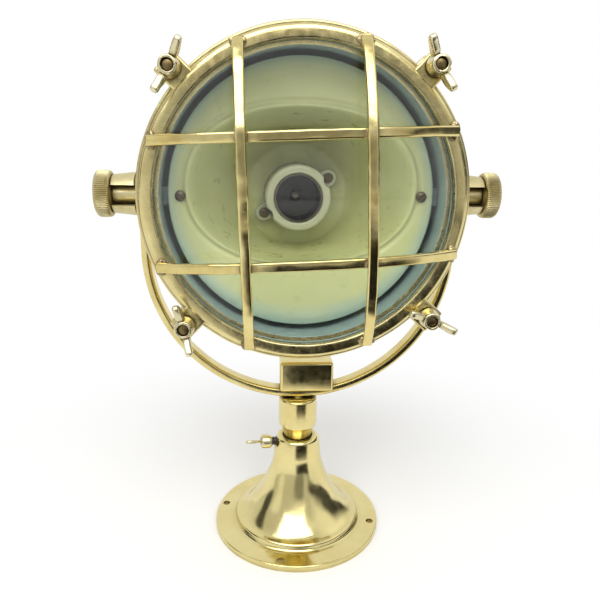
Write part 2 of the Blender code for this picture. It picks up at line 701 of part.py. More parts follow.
def trunnions(head):
    """Saddle pads with the shafts that the head tilts on, their washers, and the knobs that clamp them."""
    for word, side in SIDES.items():
        shaft_end = YOKE_BOSS_TOP - CLEARANCE
        thread_end = KNOB_BASE + KNOB_THICKNESS - KNOB_THREAD_SHORT
        turn = sideways(side)
        outline = [
            (0, PAD_BASE - HOUSING_WALL),
            (TRUNNION_PAD_RADIUS, PAD_BASE - HOUSING_WALL),
            (TRUNNION_PAD_RADIUS, PAD_FACE),
            (TRUNNION_RADIUS, PAD_FACE),
            (TRUNNION_RADIUS, shaft_end),
            (KNOB_THREAD_RADIUS, shaft_end),
            (KNOB_THREAD_RADIUS, thread_end),
            (0, thread_end),
        ]
        made = solid(f"trunnion_{word}", turned(outline, MEDIUM_STEPS, turn), "brass", head)
        saddle = rod(PAD_BASE, -TRUNNION_PAD_RADIUS - OVERRUN, TRUNNION_PAD_RADIUS + OVERRUN, FINE_STEPS)
        combine(made, solid(f"cut_saddle_{word}", saddle, "brass", head), "DIFFERENCE")
        bore = TRUNNION_RADIUS + CLEARANCE
        washer_top = WASHER_BASE + WASHER_THICKNESS
        ring = tube(bore, WASHER_RADIUS, WASHER_BASE, washer_top, MEDIUM_STEPS, turn)
        solid(f"friction_washer_{word}", ring, "fibre", head)
        knob(word, head, turn)


def knob(word, head, turn):
    top = KNOB_BASE + KNOB_THICKNESS
    bore = KNOB_THREAD_RADIUS + CLEARANCE
    outline = [
        (bore, KNOB_BASE),
        (KNOB_RADIUS - KNOB_EDGE, KNOB_BASE),
        (KNOB_RADIUS, KNOB_BASE + KNOB_EDGE),
        (KNOB_RADIUS, top - KNOB_EDGE),
        (KNOB_RADIUS - KNOB_EDGE, top),
        (bore, top),
    ]
    solid(f"tilt_knob_{word}", turned(outline, MEDIUM_STEPS, turn), "brass", head)


def housing(head):
    """Drum with a domed back, open in front, and a hole for the cable gland in its back wall."""
    outer_start = (HOUSING_RADIUS, HOUSING_SHOULDER)
    outer_end = (HOUSING_REAR_RADIUS, HOUSING_REAR)
    inner_start = (HOUSING_INNER_RADIUS, HOUSING_SHOULDER)
    inner_end = (HOUSING_REAR_RADIUS, REAR_INSIDE)
    outline = [
        (0, HOUSING_REAR),
        outer_end,
        *reversed(curve_points(outer_start, outer_end, HOUSING_HANDLE_SHARES, 5)),
        outer_start,
        (HOUSING_RADIUS, HOUSING_FRONT),
        (HOUSING_INNER_RADIUS, HOUSING_FRONT),
        inner_start,
        *curve_points(inner_start, inner_end, HOUSING_HANDLE_SHARES, 5),
        inner_end,
        (0, REAR_INSIDE),
    ]
    made = solid("housing_shell", turned(outline, FINE_STEPS), "brass", head)
    low = Matrix.Translation((0, -GLAND_DROP, 0))
    bore = GLAND_THREAD_RADIUS + CLEARANCE
    hole = rod(bore, HOUSING_REAR - OVERRUN, REAR_INSIDE + OVERRUN, SMALL_STEPS, low)
    combine(made, solid("cut_gland_hole", hole, "brass", head), "DIFFERENCE")


def spoke(angle):
    """A frame for what stands at one bolt: X runs outwards and Z forward."""
    return Matrix.Rotation(math.radians(angle), 4, "Z")


def housing_rim(head):
    """Ring brazed round the housing's front, with a pair of ears for each swing bolt."""
    lip_inner = BEZEL_RADIUS + CLEARANCE
    sleeve_inner = HOUSING_RADIUS + CLEARANCE
    outline = [
        (sleeve_inner, RIM_BACK),
        (RIM_BODY_RADIUS, RIM_BACK),
        (RIM_BODY_RADIUS, RIM_LIP_BACK),
        (RIM_RADIUS, RIM_LIP_BACK),
        (RIM_RADIUS, RIM_FRONT - RIM_EDGE_ROUND),
        (RIM_RADIUS - RIM_EDGE_ROUND, RIM_FRONT),
        (lip_inner, RIM_FRONT),
        (lip_inner, RIM_SEAT),
        (HOUSING_INNER_RADIUS, RIM_SEAT),
        (HOUSING_INNER_RADIUS, RIM_SEAT_BACK),
        (sleeve_inner, RIM_SEAT_BACK),
    ]
    made = solid("housing_rim", turned(outline, FINE_STEPS), "brass", head)
    inner_face = BOLT_EYE_THICKNESS * HALF + CLEARANCE
    outer_face = inner_face + EAR_THICKNESS
    root = RIM_BODY_RADIUS - EAR_ROOT
    hole = HINGE_PIN_RADIUS + CLEARANCE
    upright = Matrix.Rotation(math.radians(QUARTER_TURN), 4, "X")
    tip = arc((BOLT_CIRCLE_RADIUS, HINGE_PIN_FORWARD), EAR_RADIUS, -QUARTER_TURN, QUARTER_TURN, 6)
    ear = [(root, HINGE_PIN_FORWARD - EAR_RADIUS), *tip, (root, HINGE_PIN_FORWARD + EAR_RADIUS)]
    for place, angle in BOLT_ANGLES.items():
        for word, low in (("first", inner_face), ("second", -outer_face)):
            shape = prism(ear, low, low + EAR_THICKNESS, spoke(angle) @ upright)
            combine(made, solid(f"join_ear_{place}_{word}", shape, "brass", head), "UNION")
        reach = outer_face + OVERRUN
        drill = rod(hole, -reach, reach, TINY_STEPS, spoke(angle) @ pin_place())
        combine(made, solid(f"cut_pin_hole_{place}", drill, "brass", head), "DIFFERENCE")


def pin_place():
    """Where a hinge pin lies, seen from its own spoke: its Z runs round the ring."""
    lay_down = Matrix.Rotation(math.radians(-QUARTER_TURN), 4, "X")
    return Matrix.Translation((BOLT_CIRCLE_RADIUS, 0, HINGE_PIN_FORWARD)) @ lay_down


def bezel(head):
    """Front ring that holds the glass, with an open fork for each swing bolt."""
    rebate = GLASS_RADIUS + CLEARANCE
    rebate_floor = BEZEL_FRONT - BEZEL_LIP
    outline = [
        (rebate, BEZEL_BACK),
        (BEZEL_RADIUS, BEZEL_BACK),
        *rounded_corner(
            (BEZEL_RADIUS, BEZEL_FRONT),
            (BEZEL_RADIUS, BEZEL_FRONT - BEZEL_OUTER_ROUND),
            (BEZEL_RADIUS - BEZEL_OUTER_ROUND, BEZEL_FRONT),
            3,
        ),
        *rounded_corner(
            (BEZEL_OPENING_RADIUS, BEZEL_FRONT),
            (BEZEL_OPENING_RADIUS + BEZEL_INNER_ROUND, BEZEL_FRONT),
            (BEZEL_OPENING_RADIUS, BEZEL_FRONT - BEZEL_INNER_ROUND),
        ),
        (BEZEL_OPENING_RADIUS, rebate_floor),
        (rebate, rebate_floor),
    ]
    made = solid("bezel_ring", turned(outline, FINE_STEPS), "brass", head)
    half_slot = BOLT_RADIUS + CLEARANCE
    half_fork = half_slot + FORK_CHEEK
    root = BEZEL_RADIUS - FORK_ROOT
    end = BOLT_CIRCLE_RADIUS + FORK_REACH
    back = RIM_FRONT + CLEARANCE
    slot = arc((BOLT_CIRCLE_RADIUS, 0), half_slot, QUARTER_TURN, QUARTER_TURN + HALF_TURN, 6)
    slot += [(end + OVERRUN, -half_slot), (end + OVERRUN, half_slot)]
    for place, angle in BOLT_ANGLES.items():
        lug = box((root, -half_fork, back), (end, half_fork, BEZEL_FRONT - CLEARANCE), spoke(angle))
        combine(made, solid(f"join_fork_{place}", lug, "brass", head), "UNION")
        cutter = prism(slot, back - OVERRUN, BEZEL_FRONT + OVERRUN, spoke(angle))
        combine(made, solid(f"cut_fork_{place}", cutter, "brass", head), "DIFFERENCE")


def lens(head):
    """Glass disc between a gasket in front and a screwed ring behind."""
    lip = BEZEL_FRONT - BEZEL_LIP
    gasket_front = lip - CLEARANCE
    gasket_back = gasket_front - LENS_GASKET_THICKNESS
    glass_front = gasket_back - CLEARANCE
    glass_back = glass_front - GLASS_THICKNESS
    ring_front = glass_back - CLEARANCE
    gasket = tube(BEZEL_OPENING_RADIUS, GLASS_RADIUS, gasket_back, gasket_front, FINE_STEPS)
    solid("lens_gasket", gasket, "rubber", head)
    solid("lens_glass", rod(GLASS_RADIUS, glass_back, glass_front, FINE_STEPS), "glass", head)
    ring = tube(RETAINER_INNER_RADIUS, GLASS_RADIUS, ring_front - RETAINER_THICKNESS, ring_front, FINE_STEPS)
    solid("lens_retaining_ring", ring, "brass", head)
    seal_inner = RIM_GASKET_RADIUS - RIM_GASKET_WIDTH
    seal = tube(seal_inner, RIM_GASKET_RADIUS, RIM_GASKET_BACK, RIM_GASKET_FRONT, FINE_STEPS)
    solid("front_gasket", seal, "rubber", head)


def half_chord_at(offset):
    return math.sqrt(CAGE_FOOT_RADIUS**2 - offset**2)


def bar_share(place, ends):
    """How far along its half a bar has come at a place: -1 at one foot and 1 at the other."""
    return place / half_chord_at(ends[0] if place < 0 else ends[1])


def bar_offset(share, ends):
    """How far off the middle a bar lies. Its two ends have an offset each."""
    return ends[0] + (ends[1] - ends[0]) * (share + 1) * HALF


def bar_crown(share):
    """The part of its rise that a bar has at a share of its half length."""
    return 1 - abs(share) ** CAGE_POWER


def cage_bar(name, head, ends, rise, upright):
    """A flat bar that leaves the ring, bends over and crosses the glass. Its ends lie at two offsets."""
    across, along = (Vector((1, 0, 0)), Vector((0, 1, 0)))
    if not upright:
        across, along = along, across
    forward = Vector((0, 0, 1))
    foot = BEZEL_FRONT + CLEARANCE + BAR_THICKNESS * HALF
    path = []
    steps = 18
    for step in range(steps + 1):
        share = math.sin(math.pi * HALF * (2 * step / steps - 1))
        place = share * half_chord_at(ends[0] if share < 0 else ends[1])
        height = foot + rise * bar_crown(share)
        path.append(along * place + across * bar_offset(share, ends) + forward * height)
    oriented = []
    for here, point in enumerate(path):
        before = path[max(here - 1, 0)]
        after = path[min(here + 1, steps)]
        heading = (after - before).normalized()
        side = (across - heading * across.dot(heading)).normalized()
        up = heading.cross(side)
        if up.dot(forward) < 0:
            up = -up
        if here in (0, steps):
            up = forward
            side = across
        oriented.append((point, side, up))
    solid(name, swept(oriented, flat_section(BAR_WIDTH, BAR_THICKNESS, BAR_EDGE)), "brass", head)


def cage(head):
    """Two upright bars over two level ones, brazed to the ring and to each other."""
    left = (LEFT_BAR_BOTTOM, LEFT_BAR_TOP)
    right = (RIGHT_BAR_BOTTOM, RIGHT_BAR_TOP)
    cage_bar("cage_bar_left", head, left, CAGE_RISE, True)
    cage_bar("cage_bar_right", head, right, CAGE_RISE, True)
    levels = {"upper": (UPPER_BAR_LEFT, UPPER_BAR_RIGHT), "lower": (LOWER_BAR_LEFT, LOWER_BAR_RIGHT)}
    for word, ends in levels.items():
        rises = [level_rise(upright, ends) for upright in (left, right)]
        cage_bar(f"cage_bar_{word}", head, ends, min(rises), False)


def level_rise(upright, level):
    """How far a level bar may rise to pass under an upright one where they cross."""
    x, y = sum(upright) * HALF, sum(level) * HALF
    for _ in range(6):
        x = bar_offset(bar_share(y, upright), upright)
        y = bar_offset(bar_share(x, level), level)
    room = CAGE_RISE * bar_crown(bar_share(y, upright)) - BAR_THICKNESS - CROSSING_GAP
    return room / bar_crown(bar_share(x, level))


def swing_bolt(place, head):
    """Eye bolt on its hinge pin, with a wing nut. Its frame lies on the pin, with Z forward."""
    angle = BOLT_ANGLES[place]
    outward = spoke(angle) @ Vector((BOLT_CIRCLE_RADIUS, 0, HINGE_PIN_FORWARD))
    frame = empty(f"bolt_axis_{place}", outward, spoke(angle).to_euler(), head)
    lay_down = Matrix.Rotation(math.radians(-QUARTER_TURN), 4, "X")
    inner_face = BOLT_EYE_THICKNESS * HALF
    reach = inner_face + CLEARANCE + EAR_THICKNESS
    pin = rod(HINGE_PIN_RADIUS, -reach, reach, TINY_STEPS, lay_down)
    solid(f"hinge_pin_{place}", pin, "dark_brass", frame)
    nut_base = HINGE_PIN_SETBACK + NUT_STANDOFF
    nut_top = nut_base + NUT_HEIGHT
    eye = rod(BOLT_EYE_RADIUS, -inner_face, inner_face, SMALL_STEPS, lay_down)
    bolt = solid(f"swing_bolt_{place}", eye, "dark_brass", frame)
    shank = rod(BOLT_RADIUS, HINGE_PIN_RADIUS + CLEARANCE, nut_top - NUT_END_SHOW, SMALL_STEPS)
    combine(bolt, solid(f"join_shank_{place}", shank, "dark_brass", frame), "UNION")
    drill = rod(HINGE_PIN_RADIUS + CLEARANCE, -reach, reach, TINY_STEPS, lay_down)
    combine(bolt, solid(f"cut_eye_{place}", drill, "dark_brass", frame), "DIFFERENCE")
    wing_nut(place, frame, nut_base, nut_top)


def wing_nut(place, frame, base, top):
    bore = BOLT_RADIUS + CLEARANCE
    outline = [(0, base), (NUT_RADIUS, base), (NUT_TIP_RADIUS, top), (0, top)]
    nut = solid(f"wing_nut_{place}", turned(outline, SMALL_STEPS), "brass", frame)
    half_thick = WING_THICKNESS * HALF
    wings = prism(winged_outline(WING_SHARES, WING_REACH, WING_HEIGHT), -half_thick, half_thick)
    stand_up = Matrix.Rotation(math.radians(QUARTER_TURN), 4, "X")
    face_angle = math.radians(WING_ANGLES[place] - BOLT_ANGLES[place])
    seat = Matrix.Rotation(face_angle, 4, "Z") @ Matrix.Translation((0, 0, base)) @ stand_up
    bmesh.ops.transform(wings, matrix=seat, verts=wings.verts)
    combine(nut, solid(f"join_wings_{place}", wings, "brass", frame), "UNION")
    drill = rod(bore, base - OVERRUN, top + OVERRUN + WING_HEIGHT, SMALL_STEPS)
    combine(nut, solid(f"cut_nut_bore_{place}", drill, "brass", frame), "DIFFERENCE")


def bowl_edge(angle):
    """Radius of the bowl's oval edge at an angle."""
    across = abs(math.cos(angle)) / BOWL_HALF_WIDTH
    along = abs(math.sin(angle)) / BOWL_HALF_HEIGHT
    return (across**BOWL_POWER + along**BOWL_POWER) ** (-1 / BOWL_POWER)


def bowl_point(share, angle, more=0):
    """A point at a share of the way from the floor's round rim to the bowl's oval edge."""
    radius = BOWL_FLOOR_RADIUS + (bowl_edge(angle) - BOWL_FLOOR_RADIUS) * share + more
    drop = LAMPHOLDER_DROP * (1 - share)
    return (radius * math.cos(angle), radius * math.sin(angle) - drop)


def round_point(radius, angle, drop=0):
    return (radius * math.cos(angle), radius * math.sin(angle) - drop)


def dished(steps):
    """The screen: a round flange, and an oval bowl whose floor has a round hole."""
    slope = [(1, REFLECTOR_FRONT)]
    slope += curve_points((1, REFLECTOR_FRONT), (0, BOWL_FLOOR), BOWL_HANDLE_SHARES, 6)
    slope += [(0, BOWL_FLOOR)]
    hole = PORCELAIN_RADIUS + CLEARANCE
    angles = [2 * math.pi * (step + HALF) / steps for step in range(steps)]
    rings = []
    for share, height in slope:
        rings.append(([bowl_point(share, angle) for angle in angles], height))
    for height in (BOWL_FLOOR, BOWL_FLOOR - REFLECTOR_THICKNESS):
        rings.append(([round_point(hole, angle, LAMPHOLDER_DROP) for angle in angles], height))
    for share, height in reversed(slope):
        back = [bowl_point(share, angle, REFLECTOR_THICKNESS) for angle in angles]
        rings.append((back, height - REFLECTOR_THICKNESS))
    for height in (REFLECTOR_FRONT - REFLECTOR_THICKNESS, REFLECTOR_FRONT):
        rings.append(([round_point(REFLECTOR_RADIUS, angle) for angle in angles], height))
    shape = bmesh.new()
    loops = [[shape.verts.new((x, y, height)) for x, y in points] for points, height in rings]
    for first, second in zip(loops, loops[1:] + loops[:1]):
        for step in range(steps):
            onward = (step + 1) % steps
            shape.faces.new((first[step], first[onward], second[onward], second[step]))
    return shape


def reflector(head):
    """Dished screen with a flat flange, screwed to a tab on each side of the housing."""
    made = solid("reflector", dished(FINE_STEPS), "enamel", head)
    tab_top = REFLECTOR_FRONT - REFLECTOR_THICKNESS - CLEARANCE
    tab_foot = tab_top - TAB_THICKNESS
    half_wide = TAB_WIDTH * HALF
    wall = math.sqrt((HOUSING_INNER_RADIUS - CLEARANCE) ** 2 - half_wide**2)
    inner = BOWL_HALF_WIDTH + REFLECTOR_THICKNESS + TAB_SETBACK
    bore = SMALL_SCREW_RADIUS + CLEARANCE
    for word, side in SIDES.items():
        x = side * REFLECTOR_SCREW_PLACE
        ends = sorted((side * wall, side * inner))
        shape = box((ends[0], -half_wide, tab_foot), (ends[1], half_wide, tab_top))
        tab = solid(f"reflector_tab_{word}", shape, "brass", head)
        at = Matrix.Translation((x, 0, 0))
        drill = rod(bore, tab_foot - OVERRUN, REFLECTOR_FRONT + OVERRUN, TINY_STEPS, at)
        cutter = solid(f"cut_reflector_screw_{word}", drill, "brass", head)
        combine(made, cutter, "DIFFERENCE")
        combine(tab, cutter, "DIFFERENCE")
        seat = Matrix.Translation((x, 0, REFLECTOR_FRONT + CLEARANCE))
        screw = small_screw(SMALL_SCREW_LENGTH, seat)
        solid(f"reflector_screw_{word}", screw, "dark_brass", head)
    return made


def small_screw(length, seat):
    """A round-headed screw whose head stands on Z = 0."""
    outline = [
        (0, -length),
        (SMALL_SCREW_RADIUS, -length),
        (SMALL_SCREW_RADIUS, 0),
        (SMALL_SCREW_HEAD_RADIUS, 0),
        *rounded_corner(
            (SMALL_SCREW_HEAD_RADIUS, SMALL_SCREW_HEAD_HEIGHT),
            (SMALL_SCREW_HEAD_RADIUS, SMALL_SCREW_HEAD_HEIGHT * HALF),
            (SMALL_SCREW_RADIUS, SMALL_SCREW_HEAD_HEIGHT),
        ),
        (0, SMALL_SCREW_HEAD_HEIGHT),
    ]
    return turned(outline, TINY_STEPS, seat)


def lampholder(head, screen):
    """Porcelain screw lampholder that stands through the screen, screwed to a ring bracket behind it."""
    frame = empty("lampholder_frame", (0, -LAMPHOLDER_DROP, 0), (0, 0, 0), head)
    rear = PORCELAIN_FRONT - PORCELAIN_LENGTH
    floor = PORCELAIN_FRONT - SOCKET_DEPTH
    outline = [
        (0, rear),
        (PORCELAIN_BASE_RADIUS, rear),
        (PORCELAIN_RADIUS, rear + PORCELAIN_TAPER),
        *rounded_corner(
            (PORCELAIN_RADIUS, PORCELAIN_FRONT),
            (PORCELAIN_RADIUS, PORCELAIN_FRONT - PORCELAIN_ROUND),
            (PORCELAIN_RADIUS - PORCELAIN_ROUND, PORCELAIN_FRONT),
        ),
        *rounded_corner(
            (SOCKET_RADIUS, PORCELAIN_FRONT),
            (SOCKET_RADIUS + PORCELAIN_ROUND, PORCELAIN_FRONT),
            (SOCKET_RADIUS, PORCELAIN_FRONT - PORCELAIN_ROUND),
        ),
        (SOCKET_RADIUS, floor),
        (0, floor),
    ]
    body = solid("lampholder_body", turned(outline, MEDIUM_STEPS), "porcelain", frame)
    bracket = lampholder_bracket(frame)
    root = (SOCKET_RADIUS + PORCELAIN_RADIUS) * HALF
    tip = arc((EAR_SCREW_PLACE, 0), EAR_END_RADIUS, -QUARTER_TURN, QUARTER_TURN, 6)
    ear = [(root, -EAR_END_RADIUS), *tip, (root, EAR_END_RADIUS)]
    bore = SMALL_SCREW_RADIUS + CLEARANCE
    length = EAR_PLATE_TOP - BRACKET_TOP + BRACKET_THICKNESS
    for word, side in SIDES.items():
        swing = ear_turn(side)
        lobe = prism(ear, EAR_PLATE_FOOT, EAR_PLATE_TOP, swing)
        combine(body, solid(f"join_ear_{word}", lobe, "porcelain", frame), "UNION")
        at = swing @ Matrix.Translation((EAR_SCREW_PLACE, 0, 0))
        drill = rod(bore, BRACKET_TOP - BRACKET_THICKNESS - OVERRUN, EAR_PLATE_TOP + OVERRUN, TINY_STEPS, at)
        cutter = solid(f"cut_ear_screw_{word}", drill, "brass", frame)
        for piece in (body, bracket, screen):
            combine(piece, cutter, "DIFFERENCE")
        notch = rod(SCREW_NOTCH_RADIUS, EAR_PLATE_TOP, PORCELAIN_FRONT + OVERRUN, SMALL_STEPS, at)
        combine(body, solid(f"cut_screw_notch_{word}", notch, "brass", frame), "DIFFERENCE")
        seat = at @ Matrix.Translation((0, 0, EAR_PLATE_TOP + CLEARANCE))
        solid(f"lampholder_screw_{word}", small_screw(length, seat), "dark_brass", frame)
        place = Matrix.Translation((side * TERMINAL_PLACE, 0, 0))
        top = rear - CLEARANCE
        terminal = rod(TERMINAL_RADIUS, top - TERMINAL_HEIGHT, top, TINY_STEPS, place)
        solid(f"terminal_screw_{word}", terminal, "dark_brass", frame)
    lamp_contacts(frame, floor)


def ear_turn(side):
    """Turns +X to one of the lampholder's two ears."""
    half_turn = 0 if side > 0 else HALF_TURN
    return Matrix.Rotation(math.radians(EAR_PLATE_ANGLE + half_turn), 4, "Z")


def lamp_contacts(frame, floor):
    """Screw shell that the lamp's cap turns into, and the contact at its bottom."""
    outer = SOCKET_RADIUS - CLEARANCE
    inner = outer - SCREW_SHELL_WALL
    foot = floor + CLEARANCE
    mouth = PORCELAIN_FRONT - SCREW_SHELL_SETBACK
    hole = CONTACT_RADIUS + SCREW_SHELL_FOOT
    outline = [
        (hole, foot),
        (outer, foot),
        (outer, mouth),
        (inner, mouth),
        (inner, foot + SCREW_SHELL_WALL),
        (hole, foot + SCREW_SHELL_WALL),
    ]
    solid("lamp_screw_shell", turned(outline, MEDIUM_STEPS), "brass", frame)
    contact = rod(CONTACT_RADIUS, foot, foot + CONTACT_HEIGHT, TINY_STEPS)
    solid("lamp_centre_contact", contact, "dark_brass", frame)


def lampholder_bracket(frame):
    """Ring round the lampholder, with two legs down to the back wall."""
    foot = REAR_INSIDE + CLEARANCE
    inner = PORCELAIN_RADIUS + CLEARANCE
    ring = tube(inner, BRACKET_RADIUS, BRACKET_TOP - BRACKET_THICKNESS, BRACKET_TOP, MEDIUM_STEPS)
    made = solid("lampholder_bracket", ring, "brass", frame)
    half_wide = BRACKET_LEG_WIDTH * HALF
    leg_outer = math.sqrt(BRACKET_RADIUS**2 - half_wide**2)
    leg_inner = leg_outer - BRACKET_THICKNESS
    leg_top = BRACKET_TOP - BRACKET_THICKNESS * HALF
    for word, side in SIDES.items():
        leg = box((leg_inner, -half_wide, foot), (leg_outer, half_wide, leg_top), ear_turn(side))
        combine(made, solid(f"join_bracket_leg_{word}", leg, "brass", frame), "UNION")
    return made


def cable_gland(head):
    """Gland body through the back wall, with a seal and a hexagonal nut over its outer end."""
    frame = empty("gland_frame", (0, -GLAND_DROP, 0), (0, 0, 0), head)
    flange_top = HOUSING_REAR - CLEARANCE
    flange_foot = flange_top - GLAND_FLANGE_THICKNESS
    outer_end = flange_foot - GLAND_OUTSIDE_LENGTH
    inner_end = REAR_INSIDE + GLAND_INSIDE_LENGTH
    outline = [
        (GLAND_BORE_RADIUS, inner_end),
        (GLAND_BORE_RADIUS, outer_end),
        (GLAND_THREAD_RADIUS, outer_end),
        (GLAND_THREAD_RADIUS, flange_foot),
        (GLAND_FLANGE_RADIUS, flange_foot),
        (GLAND_FLANGE_RADIUS, flange_top),
        (GLAND_THREAD_RADIUS, flange_top),
        (GLAND_THREAD_RADIUS, inner_end),
    ]
    solid("cable_gland_body", turned(outline, SMALL_STEPS), "brass", frame)
    seal_top = outer_end - CLEARANCE
    seal_foot = seal_top - GLAND_SEAL_THICKNESS
    seal = tube(GLAND_BORE_RADIUS, GLAND_THREAD_RADIUS, seal_foot, seal_top, SMALL_STEPS)
    solid("cable_gland_seal", seal, "rubber", frame)
    nut_floor = seal_foot - CLEARANCE
    nut_foot = nut_floor - GLAND_NUT_WALL
    nut = rod(GLAND_NUT_RADIUS, nut_foot, flange_foot - CLEARANCE, HEX_SIDES)
    made = solid("cable_gland_nut", nut, "brass", frame)
    inside = GLAND_THREAD_RADIUS + CLEARANCE
    hollow = [
        (0, nut_foot - OVERRUN),
        (GLAND_BORE_RADIUS, nut_foot - OVERRUN),
        (GLAND_BORE_RADIUS, nut_floor),
        (inside, nut_floor),
        (inside, flange_foot + OVERRUN),
        (0, flange_foot + OVERRUN),
    ]
    cutter = solid("cut_gland_nut", turned(hollow, SMALL_STEPS), "brass", frame)
    combine(made, cutter, "DIFFERENCE")


def main():
    clear_scene()
    for name, (colour, metallic, roughness) in FINISHES.items():
        finish(name, colour, metallic, roughness)
    base = empty("base", (0, 0, 0), (0, 0, 0))
    pan = empty("pan_axis", (0, 0, 0), (0, 0, 0), base)
    face = (math.radians(QUARTER_TURN - REST_TILT), 0, 0)
    head = empty("tilt_axis", (0, 0, TRUNNION_HEIGHT), face, pan)
    pedestal(base)
    lock_screw(base)
    stem(pan)
    block(pan)
    yoke(pan)
    trunnions(head)
    housing(head)
    housing_rim(head)
    bezel(head)
    lens(head)
    cage(head)
    for place in BOLT_ANGLES:
        swing_bolt(place, head)
    screen = reflector(head)
    lampholder(head, screen)
    cable_gland(head)


main()
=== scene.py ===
"""Looks of the nautical cargo spotlight: cast and turned brass, and an enamelled screen behind clear glass.

Sizes are in millimetres until a piece is placed, and metres after. The head's coordinates run right, up and
forward out of the glass, from the middle of the trunnions' axis.
"""

import math

import bmesh
import bpy
from mathutils import Matrix, Vector, noise


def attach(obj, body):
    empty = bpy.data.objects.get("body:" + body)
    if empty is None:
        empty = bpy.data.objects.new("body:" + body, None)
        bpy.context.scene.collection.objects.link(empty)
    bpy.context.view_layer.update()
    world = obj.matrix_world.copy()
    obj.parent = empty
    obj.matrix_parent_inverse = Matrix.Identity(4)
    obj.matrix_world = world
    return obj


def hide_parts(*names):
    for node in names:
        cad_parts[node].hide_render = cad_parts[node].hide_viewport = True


MM = 0.001
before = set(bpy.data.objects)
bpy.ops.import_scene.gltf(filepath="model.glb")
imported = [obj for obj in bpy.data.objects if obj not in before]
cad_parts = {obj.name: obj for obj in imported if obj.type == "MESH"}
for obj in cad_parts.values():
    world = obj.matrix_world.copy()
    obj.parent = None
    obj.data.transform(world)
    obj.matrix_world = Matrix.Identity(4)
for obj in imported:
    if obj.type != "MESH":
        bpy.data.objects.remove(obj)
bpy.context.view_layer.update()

# --- sizes shared with the solids
SPOKES = {"upper_left": 136.5, "upper_right": 46, "lower_left": 226, "lower_right": 317}
WING_TURNS = {"upper_left": 62, "upper_right": 117, "lower_left": 104, "lower_right": 157}
SIDES = {"left": -1, "right": 1}
TRUNNION_HEIGHT = 231.25
HEAD = Matrix.Translation((0, 0, TRUNNION_HEIGHT)) @ Matrix.Rotation(math.radians(88), 4, "X")
HERE = Matrix.Identity(4)
RING_STEPS = 224
RING, OPENING, PANE = 89.9, 81.9, 85.3

# --- mesh tools


def soften(points, steps=4, closed=False):
    """Rounds the corners of an outline. A point may carry a third number, the length cut from each side."""
    found = []
    count = len(points)
    for here, point in enumerate(points):
        cut = point[2] if len(point) > 2 else 0
        if cut == 0 or (not closed and here in (0, count - 1)):
            found.append((point[0], point[1]))
            continue
        before, corner, after = (Vector(points[k % count][:2]) for k in (here - 1, here, here + 1))
        back, onward = before - corner, after - corner
        start = corner + back.normalized() * min(cut, 0.49 * back.length)
        end = corner + onward.normalized() * min(cut, 0.49 * onward.length)
        for step in range(steps + 1):
            t = step / steps
            p = start * (1 - t) ** 2 + corner * 2 * t * (1 - t) + end * t * t
            found.append((p.x, p.y))
    return found


def bezier(start, end, shares, count, ends=False):
    """A smooth curve between two points, whose handles are shares of the way across and along."""
    across, along = end[0] - start[0], end[1] - start[1]
    handles = [(start[0] + across * a, start[1] + along * b) for a, b in shares]
    corners = [start, *handles, end]
    found = []
    for step in range(0 if ends else 1, count + 1 if ends else count):
        t = step / count
        weights = ((1 - t) ** 3, 3 * t * (1 - t) ** 2, 3 * t * t * (1 - t), t**3)
        found.append(tuple(sum(w * c[axis] for w, c in zip(weights, corners)) for axis in (0, 1)))
    return found


def arc(centre, radius, start, end, count):
    found = []
    for step in range(count + 1):
        angle = math.radians(start + (end - start) * step / count)
        found.append((centre[0] + radius * math.cos(angle), centre[1] + radius * math.sin(angle)))
    return found


def chaikin(points, rounds=3):
    """A closed outline with its corners cut again and again, until it is smooth."""
    for _ in range(rounds):
        cut = []
        for a, b in zip(points, points[1:] + points[:1]):
            cut.append((0.75 * a[0] + 0.25 * b[0], 0.75 * a[1] + 0.25 * b[1]))
            cut.append((0.25 * a[0] + 0.75 * b[0], 0.25 * a[1] + 0.75 * b[1]))
        points = cut
    return points


def turned(outline, steps):
    """A solid of revolution about Z. Off the axis it is closed from its last point to its first."""
    shape = bmesh.new()
    rings = []
    for radius, height in outline:
        if radius < 1e-6:
            rings.append([shape.verts.new((0, 0, height))])
            continue
        rings.append([shape.verts.new(p) for p in circle(radius, height, steps)])
    pairs = list(zip(rings, rings[1:]))
    if len(rings[0]) > 1 and len(rings[-1]) > 1:
        pairs.append((rings[-1], rings[0]))
    for first, second in pairs:
        for step in range(steps):
            onward = (step + 1) % steps
            corners = [first[step % len(first)], first[onward % len(first)]]
            corners += [second[onward % len(second)], second[step % len(second)]]
            shape.faces.new(list(dict.fromkeys(corners)))
    return shape


def lathe(outline, steps, rounding=4, closed=False):
    """A turned solid whose outline has rounded corners."""
    return turned(soften(outline, rounding, closed), steps)


def cylinder(radius, low, high, steps):
    """A plain round bar about Z, for drilling."""
    return turned([(0, low), (radius, low), (radius, high), (0, high)], steps)


def flat_ring(inner, outer, low, high, edge, rounding, steps):
    corners = [(inner, low, edge), (outer, low, edge), (outer, high, edge), (inner, high, edge)]
    return lathe(corners, steps, rounding, True)


def bevelled(shape, width, segments=3, angle=40):
    """Breaks the sharp edges of a shape."""
    bmesh.ops.recalc_face_normals(shape, faces=shape.faces)
    limit = math.radians(angle)
    sharp = [e for e in shape.edges if len(e.link_faces) == 2 and e.calc_face_angle() > limit]
    settings = {"segments": segments, "profile": 0.5, "affect": "EDGES", "clamp_overlap": True}
    bmesh.ops.bevel(shape, geom=sharp, offset=width, **settings)
    return shape


